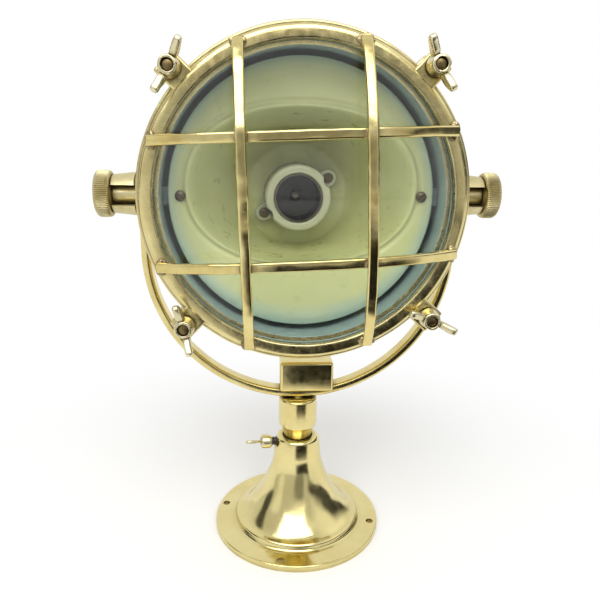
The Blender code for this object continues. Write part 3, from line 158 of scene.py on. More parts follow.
def skin(rings, capped=True):
    """A surface through rings, with a face on both ends or else closed end to end."""
    shape = bmesh.new()
    rings = [[shape.verts.new(p) for p in ring] for ring in rings]
    pairs = list(zip(rings, rings[1:]))
    if capped:
        shape.faces.new(rings[0])
        shape.faces.new(rings[-1])
    else:
        pairs.append((rings[-1], rings[0]))
    for first, second in pairs:
        for here in range(len(first)):
            onward = (here + 1) % len(first)
            shape.faces.new((first[here], first[onward], second[onward], second[here]))
    return shape


def prism(outline, low, high, edge=0, segments=3, angle=40):
    """An outline in the XY plane, drawn out along Z, with its sharp edges broken."""
    shape = skin([[(x, y, height) for x, y in outline] for height in (low, high)])
    return bevelled(shape, edge, segments, angle) if edge else shape


def box(low, high, edge=0, segments=3):
    outline = [(low[0], low[1]), (high[0], low[1]), (high[0], high[1]), (low[0], high[1])]
    return prism(outline, low[2], high[2], edge, segments)


def placed(shape, matrix):
    bmesh.ops.transform(shape, matrix=matrix, verts=shape.verts)
    return shape


def mesh_of(name, shape):
    """Turns a shape into a mesh whose faces look outwards."""
    bmesh.ops.recalc_face_normals(shape, faces=shape.faces)
    mesh = bpy.data.meshes.new(name)
    shape.to_mesh(mesh)
    shape.free()
    return mesh


def linked(name, data):
    made = bpy.data.objects.new(name, data)
    bpy.context.scene.collection.objects.link(made)
    return made


def joined(*shapes):
    """Several closed shells in one shape."""
    made = bmesh.new()
    for shape in shapes:
        mesh = mesh_of("part", shape)
        made.from_mesh(mesh)
        bpy.data.meshes.remove(mesh)
    return made


def cut(shape, *cutters):
    """The shape without what its cutters hold."""
    holders = [linked("step", mesh_of("step", source)) for source in (shape, *cutters)]
    for helper in holders[1:]:
        step = holders[0].modifiers.new(helper.name, "BOOLEAN")
        step.object = helper
        step.operation = "DIFFERENCE"
        step.solver = "EXACT"
    graph = bpy.context.evaluated_depsgraph_get()
    done = bpy.data.meshes.new_from_object(holders[0].evaluated_get(graph))
    made = bmesh.new()
    made.from_mesh(done)
    for holder in holders:
        mesh = holder.data
        bpy.data.objects.remove(holder, do_unlink=True)
        bpy.data.meshes.remove(mesh)
    bpy.data.meshes.remove(done)
    return made


def swept(path, section):
    """A bar along a path, whose points are (place, side, up). The length of side and up may vary."""
    return skin([[place + side * a + up * b for a, b in section] for place, side, up in path])


def bar_section(width, thickness, edge):
    w, t = width / 2, thickness / 2
    return soften([(w, -t, edge), (w, t, edge), (-w, t, edge), (-w, -t, edge)], 5, closed=True)


def threaded(radius, depth, pitch, low, high, steps=40, inside=None):
    """A rod with a screw thread, or with inside a wall whose inner face has the thread."""
    count = int((high - low) / pitch * 8)
    rings = [] if inside is None else [circle(inside, high, steps), circle(inside, low, steps)]
    for level in range(count + 1):
        height = low + (high - low) * level / count
        fade = min(1, level / 4, (count - level) / 4)
        ring = []
        for x, y, _ in circle(1, height, steps):
            swing = math.cos(2 * math.pi * height / pitch - math.atan2(y, x))
            r = radius - depth / 2 * (1 - fade * swing)
            ring.append((r * x, r * y, height))
        rings.append(ring)
    return skin(rings, inside is None)


def circle(radius, height, steps):
    angles = [2 * math.pi * step / steps for step in range(steps)]
    return [(radius * math.cos(a), radius * math.sin(a), height) for a in angles]


def wavy(shape, amount, size, keep=None):
    """Pushes the surface in and out a little, as a hand-finished casting has it."""
    shape.normal_update()
    for vert in shape.verts:
        if keep is None or not keep(vert.co):
            vert.co += vert.normal * (noise.noise(vert.co / size) * amount)
    return shape


def blob(place, size, lumps=0.25, seed=0):
    """A small uneven mound, as braze metal leaves it."""
    shape = bmesh.new()
    bmesh.ops.create_icosphere(shape, subdivisions=4, radius=1)
    for vert in shape.verts:
        spot = vert.co * 1.6 + Vector((seed, seed * 0.7, -seed))
        vert.co *= 1 + lumps * noise.noise(spot)
        vert.co = Vector(a * b for a, b in zip(vert.co, size))
    return placed(shape, Matrix.Translation(place))


def piece(name, shape, body, look, solid=None, place=HERE, sharp=35):
    """Puts a shape into the scene, on its body and in place of its solid."""
    placed(shape, Matrix.Scale(MM, 4) @ place)
    mesh = mesh_of(name, shape)
    mesh.materials.append(look)
    mesh.shade_smooth()
    mesh.set_sharp_from_angle(angle=math.radians(sharp))
    made = linked(name, mesh)
    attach(made, body)
    if solid:
        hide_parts(solid)
    return made


def spin(angle, axis="Z"):
    return Matrix.Rotation(math.radians(angle), 4, axis)


def shift(x, y, z):
    return Matrix.Translation((x, y, z))


# --- materials


class Nodes:
    """A short way to write a node tree."""

    def __init__(self, tree):
        self.tree = tree

    def add(self, kind, inputs=None, out=0, **settings):
        made = self.tree.nodes.new("ShaderNode" + kind)
        for name, value in settings.items():
            setattr(made, name, value)
        self.feed(made, inputs or {})
        return made.outputs[out]

    def feed(self, node, inputs):
        """Links what comes from another node, and sets what is a number or a colour on the node itself."""
        for key, value in inputs.items():
            if isinstance(value, bpy.types.NodeSocket):
                self.tree.links.new(value, node.inputs[key])
            else:
                node.inputs[key].default_value = value

    def noise(self, where, scale, detail=3, rough=0.5, distortion=0):
        inputs = {"Vector": where, "Scale": scale, "Detail": detail, "Roughness": rough}
        return self.add("TexNoise", {**inputs, "Distortion": distortion})

    def fit(self, value, a, b, c, d):
        inputs = {"Value": value, "From Min": a, "From Max": b, "To Min": c, "To Max": d}
        return self.add("MapRange", inputs, clamp=True)

    def mix(self, share, a, b):
        inputs = {0: share, 6: a, 7: b}
        return self.add("Mix", inputs, out=2, data_type="RGBA")

    def math(self, how, a, b):
        return self.add("Math", {0: a, 1: b}, operation=how)

    def bump(self, height, depth, before=None):
        inputs = {"Height": height, "Strength": 1, "Distance": depth}
        if before is not None:
            inputs["Normal"] = before
        return self.add("Bump", inputs)

    def surface(self, shader):
        """Makes a shader the material's result."""
        out = next(n for n in self.tree.nodes if n.type == "OUTPUT_MATERIAL")
        self.tree.links.new(shader, out.inputs["Surface"])


def material(name):
    made = bpy.data.materials.new(name)
    made.use_nodes = True
    return made, Nodes(made.node_tree), made.node_tree.nodes["Principled BSDF"]


def rgb(r, g, b):
    return (r, g, b, 1)


def metal(name, bright, warm, dark, rough, swell, swell_size, grime=1, fine=1):
    """Polished yellow metal: cloudy tone, tarnish in the corners, a wavy surface and fine rubbing marks."""
    made, nodes, shader = material(name)
    where = nodes.add("TexCoord", out=3)
    cloud = nodes.fit(nodes.noise(where, 55, 5, 0.62), 0.35, 0.68, 0, 1)
    tone = nodes.mix(cloud, rgb(*bright), rgb(*warm))
    hollow = nodes.add("AmbientOcclusion", {"Distance": 0.004}, out=1, samples=4)
    hollow = nodes.fit(hollow, 0.35, 0.95, 1, 0)
    spots = nodes.fit(nodes.noise(where, 170, 6, 0.7), 0.42, 0.72, 0, 1)
    soot = nodes.math("MULTIPLY", hollow, nodes.fit(spots, 0, 1, 0.55 * grime, 1 * grime))
    flecks = nodes.fit(nodes.noise(where, 420, 4, 0.65), 0.66, 0.8, 0, 0.45 * grime)
    soil = nodes.math("MAXIMUM", soot, flecks)
    colour = nodes.mix(soil, tone, rgb(*dark))
    worn = nodes.fit(nodes.noise(where, 240, 4, 0.6), 0.3, 0.75, rough * 0.7, rough * 1.5)
    gloss = nodes.add("Math", {0: soil, 1: 0.28, 2: worn}, operation="MULTIPLY_ADD")
    rolling = nodes.bump(nodes.noise(where, swell_size, 1.5, 0.4), swell)
    rubbed = nodes.add("Mapping", {"Vector": where, "Scale": (900, 900, 70)})
    fine_marks = nodes.bump(nodes.noise(rubbed, 1, 2, 0.5), 0.000006 * fine, rolling)
    nodes.feed(shader, {"Base Color": colour, "Roughness": gloss, "Normal": fine_marks, "Metallic": 1})
    return made


def enamel(name, colour, deep, soil, rough, bump=0.00002, coat=0.25, corner_shade=0.5):
    """Glossy paint or glaze with a soft mottle, dirt specks, and painted shade darkening its corners and
    hollows.
    """
    made, nodes, shader = material(name)
    where = nodes.add("TexCoord", out=3)
    cloud = nodes.fit(nodes.noise(where, 26, 4, 0.55), 0.32, 0.7, 0, 1)
    tone = nodes.mix(cloud, rgb(*colour), rgb(*deep))
    # Painted shade: ambient occlusion darkens the colour in corners and hollows, on top of the real dirt
    # specks.
    hollow = nodes.add("AmbientOcclusion", {"Distance": 0.006}, out=1, samples=4)
    corner = nodes.fit(hollow, 0.3, 0.9, corner_shade, 0)
    specks = nodes.fit(nodes.noise(where, 900, 3, 0.6), 0.68, 0.78, 0, 0.5)
    specks_and_shade = nodes.math("MAXIMUM", corner, specks)
    shade = nodes.mix(specks_and_shade, tone, rgb(*soil))
    gloss = nodes.fit(nodes.noise(where, 120, 4, 0.6), 0.3, 0.7, rough * 0.8, rough * 1.4)
    normal = nodes.bump(nodes.noise(where, 160, 3, 0.5), bump)
    nodes.feed(shader, {"Base Color": shade, "Roughness": gloss, "Normal": normal})
    nodes.feed(shader, {"Coat Weight": coat, "Coat Roughness": 0.12})
    return made


BRIGHT, WARM, TARNISH = (0.8, 0.695, 0.335), (0.71, 0.585, 0.245), (0.1, 0.075, 0.032)
# Bright, warm and tarnished tone, roughness, depth and fineness of the waviness, and how much grime.
BRASS = metal("polished_brass", BRIGHT, WARM, TARNISH, 0.15, 0.00016, 60)
CAST_BRASS = metal("cast_brass", BRIGHT, (0.74, 0.63, 0.28), TARNISH, 0.13, 0.0006, 42, 0.8)
BAR_BRASS = metal("bar_brass", BRIGHT, (0.66, 0.52, 0.19), TARNISH, 0.16, 0.0003, 75)
RING_BRASS = metal("ring_brass", BRIGHT, (0.68, 0.56, 0.25), TARNISH, 0.22, 0.0003, 60)
METALS = (
    ("worn_brass", (0.66, 0.58, 0.31), (0.36, 0.31, 0.16), (0.07, 0.05, 0.025), 0.27, 0.0004, 120, 1.2),
    ("satin_brass", (0.72, 0.64, 0.37), (0.6, 0.52, 0.27), (0.12, 0.09, 0.04), 0.42, 0.0001, 90),
    ("nut_brass", (0.84, 0.78, 0.52), (0.7, 0.62, 0.37), (0.09, 0.07, 0.04), 0.27, 0.0004, 150, 1.25),
    ("dark_brass", (0.34, 0.26, 0.12), (0.22, 0.16, 0.07), (0.03, 0.02, 0.01), 0.26, 0.00008, 140),
    # near-black brass for the screw shell and contact: painted shade deep in the socket
    ("shaded_shell_brass", (0.26, 0.23, 0.16), (0.1, 0.085, 0.055), (0.02, 0.015, 0.01), 0.2, 0.00008, 140),
    ("screw_metal", (0.17, 0.13, 0.07), (0.1, 0.075, 0.04), (0.02, 0.015, 0.01), 0.36, 0.0001, 160),
    ("braze_metal", (0.58, 0.48, 0.26), (0.26, 0.19, 0.1), (0.03, 0.02, 0.012), 0.24, 0.0003, 190, 1.3),
    ("dark_steel", (0.3, 0.29, 0.27), (0.17, 0.15, 0.13), (0.04, 0.03, 0.025), 0.3, 0.00006, 160),
)
WORN_BRASS, SATIN, NUT_BRASS, OLD_BRASS, SHADED_SHELL_BRASS, SCREW_METAL, BRAZE, STEEL = (
    metal(*looks) for looks in METALS
)
# Colour, deeper colour, colour of the dirt specks and of the painted corner shade, roughness, depth of the
# bump, coat, and how much painted shade in the corners.
ENAMELS = (
    ("wall_enamel", (0.38, 0.51, 0.5), (0.3, 0.42, 0.42), (0.04, 0.05, 0.05), 0.36, 0.00002, 0.25, 0.35),
    ("tab_paint", (0.13, 0.17, 0.18), (0.09, 0.12, 0.13), (0.04, 0.05, 0.05), 0.45),
    ("white_porcelain", (0.56, 0.57, 0.39), (0.48, 0.49, 0.32), (0.1, 0.075, 0.035), 0.18, 1e-5, 0.5, 0.9),
    # near-black paint for the socket's inside: painted shade deep in the socket
    ("socket_shade_paint", (0.014, 0.012, 0.008), (0.05, 0.04, 0.022), (0.004, 0.004, 0.003), 0.4, 2e-5, 0),
    ("black_rubber", (0.03, 0.032, 0.032), (0.022, 0.022, 0.022), (0.08, 0.07, 0.05), 0.62, 3e-5, 0),
    ("red_fibre", (0.26, 0.11, 0.06), (0.2, 0.08, 0.045), (0.07, 0.04, 0.02), 0.62, 0.00004, 0),
)
WALL, TAB_PAINT, PORCELAIN, SOCKET_SHADE, RUBBER, FIBRE = (enamel(*looks) for looks in ENAMELS)


def screen_enamel():
    """Cream-green enamel, with a painted bluish reflection towards its outer edge and a painted brown shadow
    round and above the holder.
    """
    made = enamel("cream_enamel", (0.69, 0.71, 0.365), (0.6, 0.625, 0.29), (0.16, 0.15, 0.06), 0.3)
    nodes, shader = Nodes(made.node_tree), made.node_tree.nodes["Principled BSDF"]
    where = nodes.add("TexCoord", out=3)
    blotch = nodes.noise(where, 34, 3, 0.55)
    base = shader.inputs["Base Color"].links[0].from_socket
    # Painted light: a bluish reflection along the outer edge, and a dark brown shadow above the lampholder.
    tints = ("painted_shadow_above_holder", (0.24, 0.235, 0.085), 0.45, 0.95), ("painted_bluish_reflection", (0.43, 0.575, 0.5), 0.55, 1)
    for tone, colour, low, high in tints:
        share = nodes.add("Attribute", out=2, attribute_name=tone)
        share = nodes.math("MULTIPLY", share, nodes.fit(blotch, 0.3, 0.7, low, high))
        base = nodes.mix(share, base, rgb(*colour))
    nodes.feed(shader, {"Base Color": base})
    return made


SCREEN = screen_enamel()


def clear_glass():
    """Clear glass with a faint green tint, which lets lamps through."""
    made, nodes, shader = material("lens_glass")
    where = nodes.add("TexCoord", out=3)
    smear = nodes.fit(nodes.noise(where, 30, 4, 0.6, 0.6), 0.45, 0.75, 0, 0.05)
    nodes.feed(shader, {"Base Color": rgb(0.975, 0.985, 0.965), "Roughness": smear})
    nodes.feed(shader, {"Transmission Weight": 1, "IOR": 1.47})
    path = nodes.add("LightPath", out=1)
    open_way = nodes.add("BsdfTransparent", {"Color": rgb(0.96, 0.97, 0.94)})
    nodes.surface(nodes.add("MixShader", {0: path, 1: shader.outputs[0], 2: open_way}))
    return made


GLASS = clear_glass()

# --- pedestal and lock screw

FLANGE, FLANGE_TOP, FLANGE_LIP = 57.5, 4.2, 1.3
FILLET_FOOT, FILLET_TOP = (46.8, FLANGE_TOP), (43.1, 6.9)
SHOULDER, NECK_FOOT = (42.5, 8.5), (16.2, 55)
NECK, NECK_TOP, NECK_ROUND = 14.5, 67, 4.2
SOCKET, SOCKET_FLOOR = 10.2, 33
HOLE, HOLE_REACH, HOLE_BEARINGS = 2.5, 52.5, (75.5, 165.5, 255.5, 345.5)
LOCK_HEIGHT, LOCK_BEARING, LOCK_BORE = 62.4, 185, 3.3
PITCH = 1.25


def pedestal():
    """Horn-shaped casting on a round flange, hollow from below."""
    outside = soften([(FLANGE, 0), (FLANGE, FLANGE_TOP, FLANGE_LIP), FILLET_FOOT], 6)
    outside += bezier(FILLET_FOOT, FILLET_TOP, ((0.62, 0.04), (0.95, 0.35)), 6)
    horn = bezier(SHOULDER, NECK_FOOT, ((0.38, 0.04), (0.98, 0.64)), 56, True)
    outside += soften([FILLET_TOP, (*SHOULDER, 1.5), horn[4]], 6) + horn[5:]
    socket = [(SOCKET, NECK_TOP, 0.4), (SOCKET, SOCKET_FLOOR)]
    outside += soften([NECK_FOOT, (NECK, NECK_TOP, NECK_ROUND), *socket], 9)[1:]
    hollow = [(6, SOCKET_FLOOR), (6, 27), (20, 27), (38.5, 4.5), (40, 4.25), (40, 0)]
    shape = turned(outside + hollow, RING_STEPS)
    shape = wavy(shape, 0.5, 15, lambda p: p.z < FLANGE_TOP + 0.1 or p.to_2d().length < NECK + 0.1)
    drills = []
    for bearing in HOLE_BEARINGS:
        drills.append(placed(cylinder(HOLE, -2, 7, 40), spin(bearing) @ shift(HOLE_REACH, 0, 0)))
    drills.append(placed(cylinder(LOCK_BORE, 9.9, 19, 32), lock_place()))
    piece("pedestal_casting", cut(shape, *drills), "pedestal", CAST_BRASS, "pedestal")


def lock_place():
    """Where the lock screw's axis leaves the pedestal's, with Z pointing out along it."""
    bearing = math.radians(LOCK_BEARING)
    direction = Vector((math.cos(bearing), math.sin(bearing), 0))
    return shift(0, 0, LOCK_HEIGHT) @ direction.to_track_quat("Z", "Y").to_matrix().to_4x4()


def lock_screw():
    """Threaded steel rod with a cast brass thumb piece: a ball-like hub and one thin leaf."""
    shank = threaded(3, 0.5, PITCH, 10.5, 23.4)
    piece("lock_rod", shank, "lock_screw", STEEL, "swivel_lock_rod", lock_place())
    floor, foot, top, radius = 23.7, 18.1, 25.7, 4.8
    hub = [(0, floor), (LOCK_BORE, floor), (LOCK_BORE, foot), (4, foot)]
    hub = lathe([*hub, (radius, 19.8, 1.5), (radius, top, 3.6), (0, top)], 56, 6)
    leaf_width, leaf_length, leaf_turn = 8.5, 12.5, 29
    shares = ((0.55, 0), (1, 0.72), (0.88, 0.98), (0.66, 0.92), (0.3, 0.42))
    half = [(leaf_width * a, leaf_length * b) for a, b in shares]
    outline = chaikin([(-x, y) for x, y in reversed(half)] + half, 3)
    leaf = prism(outline, -1, 1, 0.8, 3, 60)
    leaf = placed(leaf, shift(0, 0, floor) @ spin(leaf_turn) @ spin(90, "X"))
    thumb = wavy(joined(hub, leaf), 0.25, 4, lambda p: p.to_2d().length < 3.6)
    piece("lock_thumb", thumb, "lock_screw", NUT_BRASS, "swivel_lock_wing", lock_place(), 50)


# --- yoke

YOKE_RADIUS, YOKE_CENTRE, YOKE_ARM = 96, 195.25, 36
YOKE_BORE = 5.3
EYE = 13.2
SLOT = 6.05


def stem():
    """Turned post: a pin in the pedestal, a cone, a collar and a tenon in the block."""
    pin, collar, tenon = 9.9, 13, 5
    foot, cone_foot, cone_top, collar_top, top = 33.3, 71, 76, 96.2, 116.3
    outline = [(0, foot), (pin, foot), (pin, cone_foot), (collar, cone_top, 1.2)]
    outline += [(collar, collar_top, 2.9), (tenon, collar_top), (tenon, top), (0, top)]
    shape = wavy(lathe(outline, 128, 5), 0.12, 12, lambda p: p.z < 71.5 or p.z > 95)
    piece("stem_turned", shape, "yoke", BRASS, "swivel_stem")


def block():
    """Solid block off centre, hollowed below for the yoke's bar and bored for the stem."""
    middle, half_width, half_depth, foot, top = 5.2, 17.75, 9, 101.8, 122.6
    left, right = middle - half_width, middle + half_width
    body = box((left, -half_depth, foot), (right, half_depth, top), 2, 6)
    groove = arc((0, YOKE_CENTRE), 92.95, -98.5, -74, 24) + [(right + 2, foot - 3), (left - 2, foot - 3)]
    groove = placed(prism(groove, -5.8, 5.8), spin(90, "X"))
    body = cut(body, groove, cylinder(YOKE_BORE, 94, 116.6, 40))
    piece("swivel_block_solid", body, "yoke", BRASS, "swivel_block")


def open_slot(reach, low, high):
    """The room for a trunnion's shaft, open to the front."""
    back = arc((0, 0), SLOT, 0, 180, 24)
    return prism([*back, (-SLOT, -reach), (SLOT, -reach)], low, high)


def yoke():
    """One bar bent to a U, with an open eye at each end, and a boss brazed outside each eye."""
    legs = [(-YOKE_RADIUS, YOKE_ARM * k / 6) for k in range(6, 0, -1)]
    bend = arc((0, 0), YOKE_RADIUS, -180, 0, 120)
    path = []
    for x, z in [*legs, *bend, *[(-a, b) for a, b in reversed(legs)]]:
        outward = Vector((x, 0, min(z, 0))).normalized()
        path.append((Vector((x, 0, YOKE_CENTRE + z)), Vector((0, 1, 0)), outward))
    bar = swept(path, bar_section(11, 5.5, 2))
    cutters = [cylinder(YOKE_BORE, 94, 118, 40)]
    eyes = []
    for word, side in SIDES.items():
        turn = shift(0, 0, TRUNNION_HEIGHT) @ spin(90 * side, "Y")
        eye = lathe([(0, 93), (EYE, 93, 0.8), (EYE, 99, 0.8), (0, 99)], 96)
        eyes.append(placed(cut(eye, open_slot(17, 90, 102)), turn))
        cutters.append(placed(open_slot(9, 90, 102), turn))
        boss = lathe([(0, 99.3), (EYE, 99.3, 0.5), (11.6, 113.9, 1.2), (0, 113.9)], 96, 5)
        boss = bevelled(cut(boss, open_slot(17, 97, 117)), 0.45, 2, 55)
        piece(f"yoke_boss_cast_{word}", boss, "yoke", SATIN, f"yoke_boss_{word}", turn)
    bar = joined(cut(bar, *cutters), *eyes)
    piece("yoke_bent_bar", bar, "yoke", BAR_BRASS, "yoke_bar")


# --- head: trunnions and knobs

DRUM, DRUM_INSIDE = 83, 80
DRUM_SEAT = 83.3


def trunnions():
    """Flanged shafts on the housing's sides, with a washer against the yoke and a knob outside it."""
    for word, side in SIDES.items():
        turn = HEAD @ spin(90 * side, "Y")
        flange, shaft, thread = 14, 5.75, 4
        outline = [(0, 80.3), (flange, 80.3), (flange, 90.4, 0.8), (shaft, 90.4, 0.5)]
        outline += [(shaft, 113.6, 0.6), (thread, 113.6), (thread, 122, 0.5), (0, 122)]
        drum = placed(cylinder(DRUM_SEAT, -17, 17, 160), spin(-90 * side, "Y"))
        shape = cut(lathe(outline, 96), drum)
        piece(f"trunnion_turned_{word}", shape, "head", SATIN, f"trunnion_{word}", turn)
        washer = flat_ring(SLOT, 13, 90.7, 92.7, 0.3, 3, 96)
        piece(f"washer_{word}", washer, "head", FIBRE, f"friction_washer_{word}", turn)
        knob = knurled(14.2, 4.3, 114.2, 123.6, 70, 0.34)
        piece(f"knob_knurled_{word}", knob, f"knob_{word}", SATIN, f"tilt_knob_{word}", turn, 50)


def knurled(radius, bore, low, high, teeth, depth):
    """A round head with rounded edges and fine ribs round its side."""
    side = [(bore, low), (radius, low, 2.9), (radius, high, 2.9), (bore, high, 0.5)]
    rings = []
    for r, z in soften(side, 7):
        groove = depth * max(0, min(1, (r - radius + 1.6) / 1.2))
        ring = circle(1, z, teeth * 4)
        reaches = [r - groove * abs(2 - abs(step % 4 - 2)) for step in range(teeth * 4)]
        rings.append([(x * reach, y * reach, z) for (x, y, _), reach in zip(ring, reaches)])
    return skin(rings, False)


# --- head: housing, rim and front ring

DRUM_FRONT, DOME_FOOT, BACK, BACK_INSIDE, BACK_FLAT = 34, -20, -63, -60, 41
GLAND_DROP = 27.5
HINGE_REACH, HINGE_DEPTH = 97, 30


def paint_faces(made, look, chosen):
    """Gives chosen faces a second material, by place, normal and distance from the head's axis."""
    made.data.materials.append(look)
    back = HEAD.inverted()
    for face in made.data.polygons:
        spot = back @ (face.center / MM)
        lean = (back.to_3x3() @ face.normal).normalized()
        if chosen(spot, lean, math.hypot(spot.x, spot.y)):
            face.material_index = 1


def housing():
    """Drum with a domed back: brass outside, paint inside."""
    shares = ((0, 0.42), (0.3, 0.97))
    dome = bezier((DRUM, DOME_FOOT), (BACK_FLAT, BACK), shares, 28)
    hollow = bezier((DRUM_INSIDE, DOME_FOOT), (BACK_FLAT, BACK_INSIDE), shares, 28)
    outline = [(0, BACK), (30, BACK), (BACK_FLAT, BACK), *reversed(dome)]
    outline += [(DRUM, DOME_FOOT), (DRUM, 10), (DRUM, DRUM_FRONT)]
    outline += [(DRUM_INSIDE, DRUM_FRONT), (DRUM_INSIDE, 5), (DRUM_INSIDE, DOME_FOOT), *hollow]
    outline += [(BACK_FLAT, BACK_INSIDE), (0, BACK_INSIDE)]
    shape = turned(outline, RING_STEPS)
    hole = placed(cylinder(7.9, -70, -50, 48), shift(0, -GLAND_DROP, 0))
    made = piece("housing_drum", cut(shape, hole), "head", CAST_BRASS, "housing_shell", HEAD)

    def painted(spot, lean, radial):
        floor = lean.z > 0.5 and spot.z > BACK_INSIDE - 1
        facing_in = radial > 1 and lean.xy.dot(spot.xy) < -0.02 * radial
        return spot.z < DRUM_FRONT - 0.1 and (floor or facing_in)

    paint_faces(made, WALL, painted)


def rim():
    """Ring brazed round the housing's front, with a pair of ears for each swing bolt."""
    outline = [(DRUM_SEAT, 24, 0.6), (90.3, 24, 1.2), (90.3, 36, 0.4), (92.5, 36, 0.8)]
    outline += [(92.5, 44, 1.6), (90.2, 44, 0.5), (90.2, 36.6), (DRUM_INSIDE, 36.6, 0.4)]
    outline += [(DRUM_INSIDE, 34.3), (DRUM_SEAT, 34.3)]
    ring = lathe(outline, RING_STEPS, 5, True)
    parts = [wavy(ring, 0.16, 16, lambda p: p.z > 34.2 and p.to_2d().length < 90.5)]
    tip = arc((HINGE_REACH, HINGE_DEPTH), 5, -90, 90, 20)
    for angle in SPOKES.values():
        for low in (3.3, -6.8):
            ear = [(88, HINGE_DEPTH - 5), *tip, (88, HINGE_DEPTH + 5)]
            ear = prism(ear, low, low + 3.5, 0.5, 3, 60)
            parts.append(placed(ear, spin(angle) @ spin(90, "X")))
    made = piece("rim_casting", joined(*parts), "head", RING_BRASS, "housing_rim", HEAD)
    paint_faces(made, WALL, lambda spot, lean, radial: radial < 84 and 34 < spot.z < 37)


def bezel():
    """Front ring with a flat face, a full round on its outer edge, and a fork for each swing bolt."""
    seat, back, face, stop = 85.6, 38, 50, 47
    outline = [(seat, back), (RING, back, 0.4), (RING, face, 3.4), (OPENING, face, 1.5)]
    ring = lathe([*outline, (OPENING, stop), (seat, stop)], RING_STEPS, 8, True)
    parts = [wavy(ring, 0.22, 15, lambda p: p.to_2d().length < seat + 0.1 and p.z < stop + 0.05)]
    root, end, half_slot, half_fork = 86.4, 102.3, 3.3, 7.2
    fork = [(end, half_slot), *arc((HINGE_REACH, 0), half_slot, 90, 270, 16), (end, -half_slot)]
    fork += [(end, -half_fork), (root, -half_fork), (root, half_fork), (end, half_fork)]
    for angle in SPOKES.values():
        parts.append(placed(prism(fork, 44.3, 49.7, 1.3, 4, 60), spin(angle)))
    ring = joined(*parts)
    made = piece("front_ring_casting", ring, "head", RING_BRASS, "bezel_ring", HEAD)
    paint_faces(made, WORN_BRASS, lambda spot, lean, radial: spot.z > stop + 0.1 and radial < 84.6)


def lens():
    """The glass between its seal and its clamp ring, and the seal between rim and front ring."""
    for name, solid, look, *ring in (
        ("lens_seal", "lens_gasket", RUBBER, OPENING, PANE, 45.9, 46.7),
        ("lens_clamp_ring", "lens_retaining_ring", WALL, 82.3, PANE, 38.5, 40.3),
        ("front_seal", "front_gasket", RUBBER, 85.9, 89.6, 36.9, 37.7),
    ):
        piece(name, flat_ring(*ring, 0.2, 2, RING_STEPS), "head", look, solid, HEAD)
    disc = lathe([(0, 40.6), (PANE, 40.6, 0.4), (PANE, 45.6, 0.4), (0, 45.6)], RING_STEPS, 3)
    piece("lens_pane", disc, "head", GLASS, "lens_glass", HEAD)


# --- head: cage

CAGE_ROUND = 88.2
RISE = 20.5
UPRIGHTS = {"left": (-31.3, -35.8), "right": (35.7, 29.8)}
LEVELS = {"upper": (30.5, 37.2), "lower": (-36.3, -29)}
FOOT = 52.05
BAR_WIDTH, BAR_THICKNESS = 5.6, 3.5
ROUND_END = ((0.5, 0.93), (0.9, 0.78), (1.15, 0.5))
BEAD_STEP = 3.1


def half_chord(offset):
    return math.sqrt(CAGE_ROUND**2 - offset**2)


def share_of(place, ends):
    return place / half_chord(ends[0] if place < 0 else ends[1])


def offset_at(share, ends):
    return ends[0] + (ends[1] - ends[0]) * (share + 1) / 2


def crown(share):
    """A bar's height as a share of its rise, by the share of its half length from its middle."""
    return 1 - min(abs(share), 1) ** 3


def crossing(upright, level):
    """Where two bars cross, seen from the front."""
    x, y = sum(upright) / 2, sum(level) / 2
    for _ in range(6):
        x = offset_at(share_of(y, upright), upright)
        y = offset_at(share_of(x, level), level)
    return x, y


def level_rise(upright, level):
    """The rise that keeps a level bar just behind an upright one."""
    x, y = crossing(upright, level)
    behind = RISE * crown(share_of(y, upright)) - BAR_THICKNESS - 0.8
    return behind / crown(share_of(x, level))


def bar_at(ends, rise, upright, share):
    place = share * half_chord(ends[0] if share < 0 else ends[1])
    height = FOOT + rise * crown(share)
    offset = offset_at(share, ends)
    return Vector((offset, place, height)) if upright else Vector((place, offset, height))


def cage_bar(name, ends, rise, upright, seed):
    """A flat bar bowed over the glass, square to the ring at its feet, with rounded ends."""
    across = Vector((1, 0, 0)) if upright else Vector((0, 1, 0))
    forward = Vector((0, 0, 1))
    steps = 96
    shares = [math.sin(math.pi / 2 * (2 * k / steps - 1)) for k in range(steps + 1)]
    points = [bar_at(ends, rise, upright, share) for share in shares]
    path = []
    for here, point in enumerate(points):
        heading = (points[min(here + 1, steps)] - points[max(here - 1, 0)]).normalized()
        side = (across - heading * across.dot(heading)).normalized()
        up = heading.cross(side)
        up = -up if up.dot(forward) < 0 else up
        if here in (0, steps):
            up, side = forward, across
        path.append((point, side, up))
    caps = []
    for (place, side, up), beside in ((path[0], path[1]), (path[-1], path[-2])):
        onward = (place - beside[0]).normalized()
        caps.append([(place + onward * reach, side * grow, up * grow) for reach, grow in ROUND_END])
    path = list(reversed(caps[0])) + path + caps[1]
    shape = wavy(swept(path, bar_section(BAR_WIDTH, BAR_THICKNESS, 1.25)), 0.34, 8 + seed)
    piece(name, shape, "head", BAR_BRASS, name.replace("flat", "cage"), HEAD, 45)


